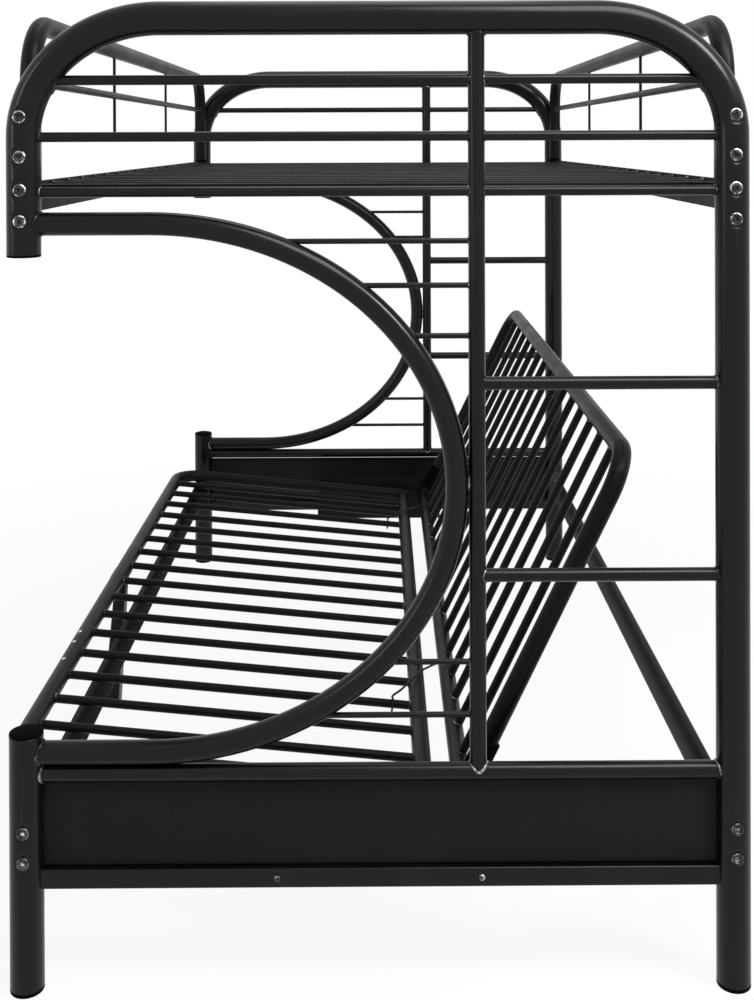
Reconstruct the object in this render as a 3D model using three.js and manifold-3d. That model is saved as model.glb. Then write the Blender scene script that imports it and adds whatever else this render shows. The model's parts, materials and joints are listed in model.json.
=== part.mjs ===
// Metal bunk bed: a single sleeping deck on top, over a futon that folds out flat.
// Millimetres. +Z is up, +Y runs along the bed, +X points to the wall side.
// The origin lies on the floor, under the middle of the whole outline.

import * as THREE from 'three';
import { mergeVertices } from 'three/addons/utils/BufferGeometryUtils.js';
import Module from 'manifold-3d';

const wasm = await Module();
wasm.setup();

// Fits: the gap where two pieces touch, and how far a bore or cutter runs past a face.
const TOUCH_GAP = 0.3;
const CUT_OVERRUN = 12;

// End frames: the bent hoop, its posts and the short front leg.
const POST_DIA = 50.8;
const POST_WALL = 1.2;
const POST_SPAN_X = 1061.2;
const POST_SPAN_Y = 1956;
const HOOP_TOP_Z = 1454.8;
const HOOP_CORNER_X = 204;
const HOOP_CORNER_Z = 177;
const STUB_DROP = 352.8;
const LEG_TOP_Z = 384;

// Plastic plugs in the open tube ends.
const FOOT_THICK = 6;
const STUB_PLUG_THICK = 3;
const SPIGOT_LENGTH = 24;
const CAP_RIM_THICK = 3;
const CAP_DOME_RISE = 3;
const PLUG_EDGE = 1.2;

// The bow: a half ellipse with straight ends, between the front stub and the front leg.
const BOW_DIA = 35;
const BOW_WALL = 1.2;
const BOW_DROP = 307.1;
const BOW_BOTTOM_Z = 355;
const BOW_STRAIGHT = 187.1;
const BOW_DEPTH = 460;

// Ladder, rails and tie rods in the end frames. A drop is measured down from the hoop's top, or
// for a tie rod from the bow's. A rung's share is that of the height from bottom to cross rail.
const LADDER_DIA = 25.4;
const LADDER_WALL = 1.2;
const RUNG_DIA = 20;
const RUNG_WALL = 1.2;
const RUNG_SHARES = { upper: 0.6685, lower: 0.3374 };
const RAIL_DIA = 15;
const RAIL_WALL = 1;
const RAIL_UPPER_DROP = 92.2;
const RAIL_LOWER_DROP = 177.1;
const CROSS_RAIL_DROP = 259.8;
const TIE_ROD_DIA = 8.5;
const TIE_ROD_DROPS = [27.3, 93.9, 169.7];
const TIE_ROD_RISES = [133.4, 54];

// Bottom of the end frames: rail, folded panel and the bar under it.
const BOTTOM_RAIL_DIA = 25.4;
const BOTTOM_RAIL_WALL = 1.2;
const PANEL_HEIGHT = 127.4;
const PANEL_SHEET = 1.2;
const PANEL_LIP = 12;
const PANEL_BAR_HEIGHT = 29.5;
const PANEL_BAR_DEPTH = 20;
const PANEL_BAR_WALL = 1.2;

// Side guards of the upper deck.
const GUARD_DIA = 31.75;
const GUARD_WALL = 1.2;
const GUARD_DROP = 1;
const GUARD_BEND = 90;
const GUARD_OVER_DECK = 20;
const GUARD_RAIL_DIA = 13.5;
const GUARD_ROD_DIA = 6;

// Upper deck: angle rails with end plates, and the slats that lie on them.
const RAIL_FACE_X = 543;
const ANGLE_SHEET = 2;
const DECK_DROP = 260.3;
const DECK_WEB_HEIGHT = 34;
const DECK_FLANGE = 38;
const END_PLATE_THICK = 4;
const END_PLATE_WIDTH = 28;
const DECK_PLATE_RISE = 16;
const DECK_PLATE_HEIGHT = 78;
const SLAT_COUNT = 18;
const SLAT_WIDTH = 28;
const SLAT_THICK = 10;
const SLAT_SHEET = 1;
const SLAT_STRIP_WIDTH = 26;
const SLAT_STRIP_THICK = 2.5;
const SLAT_SIDE_ROOM = 6;
const SLAT_END_ROOM = 45.8;

// Base side rails: angles with the flange at the bottom.
const BASE_WEB_HEIGHT = 35;
const BASE_FLANGE = 27;
const BASE_PLATE_RISE = 18;
const BASE_PLATE_HEIGHT = 92;
const SEAT_OVER_RAIL = 26.8;

// Futon: both decks are bent tube frames with round slats.
const FUTON_TUBE_DIA = 31.75;
const FUTON_TUBE_WALL = 1.2;
const FUTON_END_ROOM = 126.5;
const FUTON_BEND = 70;
const FUTON_SLAT_DIA = 15;
const FUTON_SLAT_WALL = 1;
const SEAT_FRONT_X = -583;
const SEAT_FRONT_Z = 295.7;
const SEAT_TILT_DEG = 5.53;
const SEAT_TUBE_END = 18;
const SEAT_SLAT_COUNT = 16;
const HINGE_DISTANCE = 718;
const HINGE_BEHIND_RAIL = 62.6;
const BACK_ANGLE_DEG = 63.6;
const BACK_HEIGHT = 600;
const BACK_TUBE_TAIL = 14;
const BACK_SLAT_COUNT = 15;
const BACK_SHOE_START = 30;
const BACK_SHOE_LENGTH = 65;
const BACK_SHOE_WALL = 3.6;

// Fold mechanism: hinge plates on the seat, pins, and slotted brackets on the panel bars.
const HINGE_PLATE_THICK = 4;
const HINGE_PLATE_MARGIN = 14;
const HINGE_PLATE_REACH = 112;
const HINGE_PIN_DIA = 10;
const PIN_HEAD_DIA = 18;
const PIN_HEAD_THICK = 4;
const PIN_LENGTH = 44;
const STUD_DROP = 45;
const STUD_BEFORE_HINGE = 44;
const STUD_DIA = 10;
const FUTON_TRAVEL = 230;
const SLOT_CLEARANCE = 1;
const BRACKET_SHEET = 3;
const BRACKET_BEFORE_SLOT = 41.9;
const BRACKET_BEHIND_SLOT = 95.6;
const BRACKET_OVER_SLOT = 23.3;
const BRACKET_FLANGE = 28;
const BRACKET_CLEARANCE = 6;
const BRACKET_BEND = 16;

// Leg under the middle of the seat's front rail.
const SUPPORT_TOP_WIDTH = 24;
const SUPPORT_BOTTOM_WIDTH = 34;
const SUPPORT_DEPTH = 40;
const SUPPORT_SHEET = 3;
const SUPPORT_FORWARD = 31;
const SADDLE_WIDTH = 64;
const SADDLE_SHEET = 3;

// Wire hooks between the hinge rail and the seat slats. Each starts at a place counted in back
// slats from the middle, and ends round a seat slat, counted in the same way.
const HOOK_WIRE_DIA = 4;
const HOOK_CLEARANCE = 1.2;
const HOOK_BEFORE_RAIL = 47;
const HOOKS = [
  { name: 'near', start: -3.5, slat: -5.5 },
  { name: 'far', start: 6.5, slat: 5.5 },
];

// Facets of round sections.
const POST_SIDES = 16;
const TUBE_SIDES = 12;
const RAIL_SIDES = 10;
const ROD_SIDES = 8;
const WIRE_SIDES = 6;
const CORNER_STEPS = 6;
const BOW_STEPS = 14;
const BEND_STEPS = 4;

// Places that follow from the sizes above.
const postX = POST_SPAN_X / 2;
const postY = POST_SPAN_Y / 2;
const postRadius = POST_DIA / 2;
const stubBottomZ = HOOP_TOP_Z - STUB_DROP;
const bowRadius = BOW_DIA / 2;
const bowTopZ = HOOP_TOP_Z - BOW_DROP;
const bowCentreX = -postX + BOW_STRAIGHT;
const bowCentreZ = (bowTopZ + BOW_BOTTOM_Z) / 2;
const bowHalfHeight = (bowTopZ - BOW_BOTTOM_Z) / 2;
const ladderX = bowCentreX + BOW_DEPTH + bowRadius + TOUCH_GAP + LADDER_DIA / 2;
const bottomRailZ = BOW_BOTTOM_Z - bowRadius - TOUCH_GAP - BOTTOM_RAIL_DIA / 2;
const railUpperZ = HOOP_TOP_Z - RAIL_UPPER_DROP;
const railLowerZ = HOOP_TOP_Z - RAIL_LOWER_DROP;
const crossRailZ = HOOP_TOP_Z - CROSS_RAIL_DROP;
const panelTopZ = bottomRailZ - BOTTOM_RAIL_DIA / 2 - TOUCH_GAP;
const panelBarTopZ = panelTopZ - PANEL_HEIGHT - TOUCH_GAP;
const panelBarBottomZ = panelBarTopZ - PANEL_BAR_HEIGHT;
const deckRailTopZ = HOOP_TOP_Z - DECK_DROP;
const guardTopZ = HOOP_TOP_Z - GUARD_DROP;
const guardLegBottomZ = deckRailTopZ + GUARD_OVER_DECK;
const guardLegY = postY - postRadius - TOUCH_GAP - GUARD_DIA / 2;
const futonY = postY - FUTON_END_ROOM;
const seatPitch = (2 * futonY) / (SEAT_SLAT_COUNT + 1);
const backPitch = (2 * futonY) / (BACK_SLAT_COUNT + 1);
const seatRearRail = HINGE_DISTANCE - HINGE_BEHIND_RAIL;
const futonRadius = FUTON_TUBE_DIA / 2;
const seatTilt = THREE.MathUtils.degToRad(SEAT_TILT_DEG);
const backAngle = THREE.MathUtils.degToRad(BACK_ANGLE_DEG);
const baseRailTopZ = SEAT_FRONT_Z - futonRadius - SEAT_OVER_RAIL;
const plateInnerY = futonY + futonRadius + TOUCH_GAP;
const plateOuterY = plateInnerY + HINGE_PLATE_THICK;
const camInnerY = plateOuterY + BRACKET_CLEARANCE;
const stringerY = postY - postRadius - TOUCH_GAP;
const frontReach = SEAT_FRONT_X - SUPPORT_FORWARD - SUPPORT_BOTTOM_WIDTH / 2;
const originX = (frontReach + postX + postRadius) / 2;

// Finishes.
function finish(color, roughness, metalness) {
  return { color, roughness, metalness };
}
const POWDER_COAT = finish(0x2b2a29, 0.42, 0.35);
const BLACK_STEEL = finish(0x161616, 0.5, 0.4);
const BLACK_PLASTIC = finish(0x0b0b0b, 0.55, 0);

// Solids.

function toSolid(geometry) {
  const plain = geometry.clone();
  plain.deleteAttribute('normal');
  plain.deleteAttribute('uv');
  const merged = mergeVertices(plain);
  const triVerts = Uint32Array.from(merged.index.array);
  const vertProperties = merged.attributes.position.array;
  return new wasm.Manifold(new wasm.Mesh({ numProp: 3, vertProperties, triVerts }));
}

function toGeometry(solid) {
  const mesh = solid.getMesh();
  const geometry = new THREE.BufferGeometry();
  geometry.setAttribute('position', new THREE.BufferAttribute(mesh.vertProperties, 3));
  geometry.setIndex(new THREE.BufferAttribute(mesh.triVerts, 1));
  geometry.computeVertexNormals();
  return geometry;
}

function join(solids) {
  return solids.reduce((whole, solid) => whole.add(solid));
}

function cut(solid, cutters) {
  return cutters.reduce((rest, cutter) => rest.subtract(cutter), solid);
}

// A round outline whose corners lie on the circle.
function roundOutline(radius, sides) {
  const points = [];
  for (let i = 0; i < sides; i += 1) {
    const angle = (2 * Math.PI * i) / sides;
    points.push(new THREE.Vector2(radius * Math.cos(angle), radius * Math.sin(angle)));
  }
  return points;
}

// A path with a section at each given station, so straight runs need no extra ones.
class StationPath extends THREE.Curve {
  constructor(stations) {
    super();
    this.stations = stations;
  }

  nearest(u) {
    return this.stations[Math.round(u * (this.stations.length - 1))];
  }

  getPointAt(u) {
    return this.nearest(u).point.clone();
  }

  getTangentAt(u) {
    return this.nearest(u).tangent.clone();
  }
}

function station(x, y, z, tx, ty, tz) {
  return {
    point: new THREE.Vector3(x, y, z),
    tangent: new THREE.Vector3(tx, ty, tz).normalize(),
  };
}

// Stations on an elliptic arc: centre + u cos(angle) + v sin(angle).
function arcStations(centre, u, v, from, to, steps) {
  const list = [];
  const direction = Math.sign(to - from);
  for (let i = 0; i <= steps; i += 1) {
    const angle = from + ((to - from) * i) / steps;
    const point = centre.clone().addScaledVector(u, Math.cos(angle));
    point.addScaledVector(v, Math.sin(angle));
    const tangent = u.clone().multiplyScalar(-Math.sin(angle) * direction);
    tangent.addScaledVector(v, Math.cos(angle) * direction).normalize();
    list.push({ point, tangent });
  }
  return list;
}

function straight(from, to) {
  const tangent = to.clone().sub(from).normalize();
  return [
    { point: from, tangent },
    { point: to, tangent },
  ];
}

// The same path, run on at its start and its end by the given lengths.
function lengthen(stations, atStart, atEnd) {
  const list = stations.map(({ point, tangent }) => ({ point: point.clone(), tangent }));
  const last = list[list.length - 1];
  list[0].point.addScaledVector(list[0].tangent, -atStart);
  last.point.addScaledVector(last.tangent, atEnd);
  return list;
}

function sweep(stations, outline, hole = null) {
  const shape = new THREE.Shape(outline);
  if (hole) shape.holes.push(new THREE.Path(hole));
  const extrudePath = new StationPath(stations);
  const steps = stations.length - 1;
  return new THREE.ExtrudeGeometry(shape, { steps, bevelEnabled: false, extrudePath });
}

// A solid round bar along the stations.
function bar(stations, radius, sides) {
  return toSolid(sweep(stations, roundOutline(radius, sides)));
}

// A cutter that clears a tube by the touching gap.
function clearanceOf(stations, dia, sides) {
  return bar(stations, dia / 2 + TOUCH_GAP, sides);
}

// A plain tube with open ends, as one extrusion.
function openTube(stations, dia, wall, sides) {
  const hole = roundOutline(dia / 2 - wall, sides);
  return sweep(stations, roundOutline(dia / 2, sides), hole);
}

// Tubes welded into one piece. Each bore is cut from the whole, so bores that meet are joined.
function weld(tubes, cutters = []) {
  const outers = tubes.map(({ path, dia, sides }) => bar(path, dia / 2, sides));
  const hollow = tubes.filter(({ wall }) => wall);
  const bores = hollow.map(({ path, dia, wall, sides, startOpen = true, endOpen = true }) => {
    const run = lengthen(path, startOpen ? CUT_OVERRUN : 0, endOpen ? CUT_OVERRUN : 0);
    return bar(run, dia / 2 - wall, sides);
  });
  return cut(join(outers), [...bores, ...cutters]);
}

// Prisms: an outline pushed along one axis, between two places on it.
function prism(outline, from, to, basis) {
  const shape = outline instanceof THREE.Shape ? outline : new THREE.Shape(outline);
  const options = { depth: to - from, bevelEnabled: false, curveSegments: BEND_STEPS };
  const geometry = new THREE.ExtrudeGeometry(shape, options);
  geometry.translate(0, 0, from);
  geometry.applyMatrix4(basis);
  return toSolid(geometry);
}

const X_AXIS = new THREE.Vector3(1, 0, 0);
const Y_AXIS = new THREE.Vector3(0, 1, 0);
const Z_AXIS = new THREE.Vector3(0, 0, 1);
const ALONG_X = new THREE.Matrix4().makeBasis(Y_AXIS, Z_AXIS, X_AXIS);
const ALONG_Y = new THREE.Matrix4().makeBasis(Z_AXIS, X_AXIS, Y_AXIS);

// The outline's points are (y, z).
function prismX(outline, from, to) {
  return prism(outline, from, to, ALONG_X);
}

// The outline's points are (z, x).
function prismY(outline, from, to) {
  return prism(outline, from, to, ALONG_Y);
}

function points2(list) {
  return list.map(([a, b]) => new THREE.Vector2(a, b));
}

function box(x0, x1, y0, y1, z0, z1) {
  return prismX(points2([[y0, z0], [y1, z0], [y1, z1], [y0, z1]]), x0, x1);
}

// A round bar along Y at (x, z).
function pinY(x, z, y0, y1, radius, sides) {
  const from = new THREE.Vector3(x, Math.min(y0, y1), z);
  const to = new THREE.Vector3(x, Math.max(y0, y1), z);
  return bar(straight(from, to), radius, sides);
}

// A turned piece about Z, from (radius, z) points that start and end on the axis.
function turned(profile) {
  return new THREE.LatheGeometry(points2(profile), POST_SIDES).rotateX(Math.PI / 2);
}

// Scene graph.

const bed = new THREE.Group();

function addMesh(parent, name, shape, look) {
  const geometry = shape.isBufferGeometry ? shape : toGeometry(shape);
  const mesh = new THREE.Mesh(geometry, new THREE.MeshStandardMaterial(look));
  mesh.name = name;
  parent.add(mesh);
  return mesh;
}

// End frame paths, in the frame's own plane.

function hoopPath() {
  const cornerZ = HOOP_TOP_Z - HOOP_CORNER_Z;
  const u = new THREE.Vector3(HOOP_CORNER_X, 0, 0);
  const v = new THREE.Vector3(0, 0, HOOP_CORNER_Z);
  const left = new THREE.Vector3(-postX + HOOP_CORNER_X, 0, cornerZ);
  const right = new THREE.Vector3(postX - HOOP_CORNER_X, 0, cornerZ);
  return [
    station(-postX, 0, stubBottomZ, 0, 0, 1),
    ...arcStations(left, u, v, Math.PI, Math.PI / 2, CORNER_STEPS),
    ...arcStations(right, u, v, Math.PI / 2, 0, CORNER_STEPS),
    station(postX, 0, FOOT_THICK + TOUCH_GAP, 0, 0, -1),
  ];
}

function legPath() {
  const from = new THREE.Vector3(-postX, 0, FOOT_THICK + TOUCH_GAP);
  return straight(from, new THREE.Vector3(-postX, 0, LEG_TOP_Z));
}

function bowPath() {
  const centre = new THREE.Vector3(bowCentreX, 0, bowCentreZ);
  const u = new THREE.Vector3(BOW_DEPTH, 0, 0);
  const v = new THREE.Vector3(0, 0, bowHalfHeight);
  return [
    station(-postX, 0, bowTopZ, 1, 0, 0),
    ...arcStations(centre, u, v, Math.PI / 2, -Math.PI / 2, BOW_STEPS),
    station(-postX, 0, BOW_BOTTOM_Z, -1, 0, 0),
  ];
}

function levelPath(fromX, toX, z) {
  return straight(new THREE.Vector3(fromX, 0, z), new THREE.Vector3(toX, 0, z));
}

function uprightPath(x, fromZ, toZ) {
  return straight(new THREE.Vector3(x, 0, fromZ), new THREE.Vector3(x, 0, toZ));
}

// How far from the middle the hoop's centre line is at a height.
function hoopHalfWidth(z) {
  const rise = Math.max(0, z - (HOOP_TOP_Z - HOOP_CORNER_Z)) / HOOP_CORNER_Z;
  return postX - HOOP_CORNER_X + HOOP_CORNER_X * Math.sqrt(1 - rise * rise);
}

function bowX(z) {
  const rise = (z - bowCentreZ) / bowHalfHeight;
  return bowCentreX + BOW_DEPTH * Math.sqrt(1 - rise * rise);
}

// Plugs: a spigot inside the tube and a rim that covers its end.
function plugSpigot() {
  const boreFlats = (postRadius - POST_WALL) * Math.cos(Math.PI / POST_SIDES);
  const spigot = boreFlats - TOUCH_GAP;
  return [[0, -SPIGOT_LENGTH], [spigot, -SPIGOT_LENGTH], [spigot, 0], [postRadius, 0]];
}

function flatPlug(thick) {
  return [...plugSpigot(), [postRadius, thick], [0, thick]];
}

function domedPlug(rim, rise) {
  const edge = postRadius - PLUG_EDGE;
  const crown = [edge * Math.SQRT1_2, rim + rise * Math.SQRT1_2];
  return [...plugSpigot(), [postRadius, rim - PLUG_EDGE], [edge, rim], crown, [0, rim + rise]];
}

// A plug that points down has the same profile, turned over.
function turnedOver(profile) {
  return profile.map(([radius, z]) => [radius, -z]).reverse();
}

function addPlugs(group, end) {
  const cap = turned(domedPlug(CAP_RIM_THICK, CAP_DOME_RISE));
  const stub = turned(turnedOver(flatPlug(STUB_PLUG_THICK)));
  const foot = turned(turnedOver(flatPlug(FOOT_THICK)));
  const legCap = addMesh(group, `${end.name}_leg_cap`, cap, BLACK_PLASTIC);
  legCap.position.set(-postX, 0, LEG_TOP_Z + TOUCH_GAP);
  const stubPlug = addMesh(group, `${end.name}_stub_plug`, stub, BLACK_PLASTIC);
  stubPlug.position.set(-postX, 0, stubBottomZ - TOUCH_GAP);
  const legFoot = addMesh(group, `${end.name}_leg_foot`, foot, BLACK_PLASTIC);
  legFoot.position.set(-postX, 0, FOOT_THICK);
  const postFoot = addMesh(group, `${end.name}_post_foot`, foot.clone(), BLACK_PLASTIC);
  postFoot.position.set(postX, 0, FOOT_THICK);
}

// The ladder's upright, with the short tie rods that run to the bow.
function ladderPost(clear) {
  const upright = {
    path: uprightPath(ladderX, bottomRailZ, HOOP_TOP_Z),
    dia: LADDER_DIA,
    wall: LADDER_WALL,
    sides: TUBE_SIDES,
  };
  const heights = [
    ...TIE_ROD_DROPS.map((drop) => bowTopZ - drop),
    ...TIE_ROD_RISES.map((rise) => BOW_BOTTOM_Z + rise),
  ];
  const rods = heights.map((z) => ({
    path: levelPath(bowX(z), ladderX, z),
    dia: TIE_ROD_DIA,
    sides: ROD_SIDES,
  }));
  const cutters = [clear.hoop, clear.bow, clear.bottomRail, ...clear.rails];
  return weld([upright, ...rods], cutters);
}

// The panel between the posts: a sheet with a lip folded inwards at the top and the bottom.
function panelSolid(end, clear) {
  const inner = end.inward * PANEL_SHEET;
  const lip = end.inward * PANEL_LIP;
  const top = panelTopZ;
  const bottom = panelTopZ - PANEL_HEIGHT;
  const outline = points2([
    [0, bottom],
    [lip, bottom],
    [lip, bottom + PANEL_SHEET],
    [inner, bottom + PANEL_SHEET],
    [inner, top - PANEL_SHEET],
    [lip, top - PANEL_SHEET],
    [lip, top],
    [0, top],
  ]);
  return cut(prismX(outline, -postX, postX), [clear.hoop, clear.leg]);
}

function panelBarSolid(clear) {
  const half = PANEL_BAR_DEPTH / 2;
  const outer = box(-postX, postX, -half, half, panelBarBottomZ, panelBarTopZ);
  const inset = half - PANEL_BAR_WALL;
  const low = panelBarBottomZ + PANEL_BAR_WALL;
  const high = panelBarTopZ - PANEL_BAR_WALL;
  const bore = box(-postX - CUT_OVERRUN, postX + CUT_OVERRUN, -inset, inset, low, high);
  return cut(outer, [bore, clear.hoop, clear.leg]);
}

function addEndFrame(end) {
  const group = new THREE.Group();
  group.position.set(0, end.y, 0);
  bed.add(group);

  const guardSpans = [railUpperZ, railLowerZ].map((z) => {
    return levelPath(-hoopHalfWidth(z), hoopHalfWidth(z), z);
  });
  const crossSpan = levelPath(-postX, postX, crossRailZ);
  const bottomSpan = levelPath(-postX, postX, bottomRailZ);
  const ladderSpan = uprightPath(ladderX, bottomRailZ, HOOP_TOP_Z);
  const clear = {
    hoop: clearanceOf(lengthen(hoopPath(), 0, CUT_OVERRUN), POST_DIA, POST_SIDES),
    leg: clearanceOf(legPath(), POST_DIA, POST_SIDES),
    bow: clearanceOf(bowPath(), BOW_DIA, TUBE_SIDES),
    bottomRail: clearanceOf(bottomSpan, BOTTOM_RAIL_DIA, TUBE_SIDES),
    ladder: clearanceOf(ladderSpan, LADDER_DIA, TUBE_SIDES),
    rails: [...guardSpans, crossSpan].map((span) => clearanceOf(span, RAIL_DIA, RAIL_SIDES)),
  };
  const posts = [clear.hoop, clear.leg];
  const add = (name, shape, look) => addMesh(group, `${end.name}_${name}`, shape, look);
  const tubeBetween = (path, dia, wall, sides, cutters) => {
    return weld([{ path, dia, wall, sides }], cutters);
  };

  add('hoop', openTube(hoopPath(), POST_DIA, POST_WALL, POST_SIDES), POWDER_COAT);
  add('front_leg', openTube(legPath(), POST_DIA, POST_WALL, POST_SIDES), POWDER_COAT);
  addPlugs(group, end);
  add('bow', tubeBetween(bowPath(), BOW_DIA, BOW_WALL, TUBE_SIDES, posts), POWDER_COAT);
  add('ladder_post', ladderPost(clear), POWDER_COAT);
  for (const [level, share] of Object.entries(RUNG_SHARES)) {
    const z = bottomRailZ + share * (crossRailZ - bottomRailZ);
    const rung = tubeBetween(
      levelPath(ladderX, postX, z), RUNG_DIA, RUNG_WALL, RAIL_SIDES, [clear.ladder, clear.hoop],
    );
    add(`ladder_rung_${level}`, rung, POWDER_COAT);
  }
  guardSpans.forEach((span, i) => {
    const rail = tubeBetween(span, RAIL_DIA, RAIL_WALL, RAIL_SIDES, [clear.hoop]);
    add(`end_rail_${i === 0 ? 'upper' : 'lower'}`, rail, POWDER_COAT);
  });
  const cross = tubeBetween(crossSpan, RAIL_DIA, RAIL_WALL, RAIL_SIDES, [clear.hoop]);
  add('deck_cross_rail', cross, POWDER_COAT);
  const bottom = tubeBetween(
    bottomSpan, BOTTOM_RAIL_DIA, BOTTOM_RAIL_WALL, TUBE_SIDES, posts,
  );
  add('bottom_rail', bottom, POWDER_COAT);
  add('panel', panelSolid(end, clear), POWDER_COAT);
  add('panel_bar', panelBarSolid(clear), POWDER_COAT);
  add('slide_bracket', slideBracket(end), BLACK_STEEL);
}

// Where the seat's guide stud is, for a slide travel, in the bed's own plane.
function studPlace(travel) {
  const tilt = seatTilt * (1 - travel / FUTON_TRAVEL);
  const along = HINGE_DISTANCE - STUD_BEFORE_HINGE;
  const x = SEAT_FRONT_X - travel + along * Math.cos(tilt) - STUD_DROP * Math.sin(tilt);
  const z = SEAT_FRONT_Z - along * Math.sin(tilt) - STUD_DROP * Math.cos(tilt);
  return { x, z };
}

// Bent bracket on the panel bar: a flange on the bar, a shelf, and a cam plate with a
// sloping slot that carries the seat's stud. Local y is measured from the frame's plane.
function slideBracket(end) {
  const flange = PANEL_BAR_DEPTH / 2 + TOUCH_GAP;
  const cam = postY - camInnerY;
  const s = end.inward;
  const sheet = BRACKET_SHEET;
  const slotFrom = studPlace(0);
  const slotTo = studPlace(FUTON_TRAVEL);
  const x0 = slotTo.x - BRACKET_BEFORE_SLOT;
  const x1 = slotFrom.x + BRACKET_BEHIND_SLOT;
  const bottom = panelBarBottomZ;
  const top = slotTo.z + BRACKET_OVER_SLOT;
  const outline = points2([
    [s * flange, bottom],
    [s * cam, bottom],
    [s * cam, top],
    [s * (cam - sheet), top],
    [s * (cam - sheet), bottom + sheet],
    [s * (flange + sheet), bottom + sheet],
    [s * (flange + sheet), bottom + BRACKET_FLANGE],
    [s * flange, bottom + BRACKET_FLANGE],
  ]);
  const radius = STUD_DIA / 2 + SLOT_CLEARANCE;
  const side = new THREE.Vector2(slotTo.x - slotFrom.x, slotTo.z - slotFrom.z).normalize();
  const angle = Math.atan2(side.x, side.y);
  const slot = new THREE.Shape();
  slot.absarc(slotFrom.z, slotFrom.x, radius, angle + Math.PI / 2, angle + 1.5 * Math.PI);
  slot.absarc(slotTo.z, slotTo.x, radius, angle - Math.PI / 2, angle + Math.PI / 2);
  const low = Math.min(s * (cam - CUT_OVERRUN), s * (cam + CUT_OVERRUN));
  const slotCutter = prismY(slot, low, low + 2 * CUT_OVERRUN);
  const corners = [x0, x1].map((x) => {
    const inwards = x === x0 ? 1 : -1;
    const corner = points2([
      [top + CUT_OVERRUN, x - inwards * CUT_OVERRUN],
      [top + CUT_OVERRUN, x + inwards * (BRACKET_BEND + CUT_OVERRUN)],
      [top - BRACKET_BEND - CUT_OVERRUN, x - inwards * CUT_OVERRUN],
    ]);
    return prismY(corner, low, low + 2 * CUT_OVERRUN);
  });
  return cut(prismX(outline, x0, x1), [slotCutter, ...corners]);
}

// Side guards stand inside the posts, on both long sides.

function guardPath() {
  const v = new THREE.Vector3(0, 0, GUARD_BEND);
  const u = new THREE.Vector3(0, GUARD_BEND, 0);
  const bendZ = guardTopZ - GUARD_BEND;
  const near = new THREE.Vector3(0, -guardLegY + GUARD_BEND, bendZ);
  const far = new THREE.Vector3(0, guardLegY - GUARD_BEND, bendZ);
  return [
    station(0, -guardLegY, guardLegBottomZ, 0, 0, 1),
    ...arcStations(near, u, v, Math.PI, Math.PI / 2, BEND_STEPS),
    ...arcStations(far, u, v, Math.PI / 2, 0, BEND_STEPS),
    station(0, guardLegY, guardLegBottomZ, 0, 0, -1),
  ];
}

function guardRails() {
  const frame = clearanceOf(guardPath(), GUARD_DIA, TUBE_SIDES);
  const rails = [railUpperZ, railLowerZ].map((z) => ({
    path: straight(new THREE.Vector3(0, -guardLegY, z), new THREE.Vector3(0, guardLegY, z)),
    dia: GUARD_RAIL_DIA,
    wall: RAIL_WALL,
    sides: ROD_SIDES,
  }));
  const rods = [-1, 1].map((side) => ({
    path: straight(
      new THREE.Vector3(0, (side * guardLegY) / 3, railLowerZ),
      new THREE.Vector3(0, (side * guardLegY) / 3, guardTopZ),
    ),
    dia: GUARD_ROD_DIA,
    sides: ROD_SIDES,
  }));
  return weld([...rails, ...rods], [frame]);
}

// An angle rail along the bed with a plate at each end. The plates bolt to the posts.
function angleRail(side, webLow, webHigh, flangeZ, flangeWidth, plateLow, plateHigh) {
  const face = side * RAIL_FACE_X;
  const webInner = side * (RAIL_FACE_X - ANGLE_SHEET);
  const flangeInner = side * (RAIL_FACE_X - flangeWidth);
  const plateInner = side * (RAIL_FACE_X - END_PLATE_WIDTH);
  const span = (a, b, y0, y1, z0, z1) => {
    return box(Math.min(a, b), Math.max(a, b), y0, y1, z0, z1);
  };
  const web = span(face, webInner, -stringerY, stringerY, webLow, webHigh);
  const flange = span(face, flangeInner, -stringerY, stringerY, flangeZ, flangeZ + ANGLE_SHEET);
  const inner = stringerY - END_PLATE_THICK;
  const nearPlate = span(face, plateInner, -stringerY, -inner, plateLow, plateHigh);
  const farPlate = span(face, plateInner, inner, stringerY, plateLow, plateHigh);
  return join([web, flange, nearPlate, farPlate]);
}

function deckRail(side) {
  const top = deckRailTopZ;
  const plateTop = top + DECK_PLATE_RISE;
  return angleRail(
    side, top - DECK_WEB_HEIGHT, top, top - ANGLE_SHEET, DECK_FLANGE,
    plateTop - DECK_PLATE_HEIGHT, plateTop,
  );
}

function baseRail(side) {
  const low = baseRailTopZ - BASE_WEB_HEIGHT;
  const plateTop = baseRailTopZ + BASE_PLATE_RISE;
  return angleRail(
    side, low, baseRailTopZ, low, BASE_FLANGE, plateTop - BASE_PLATE_HEIGHT, plateTop,
  );
}

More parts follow.
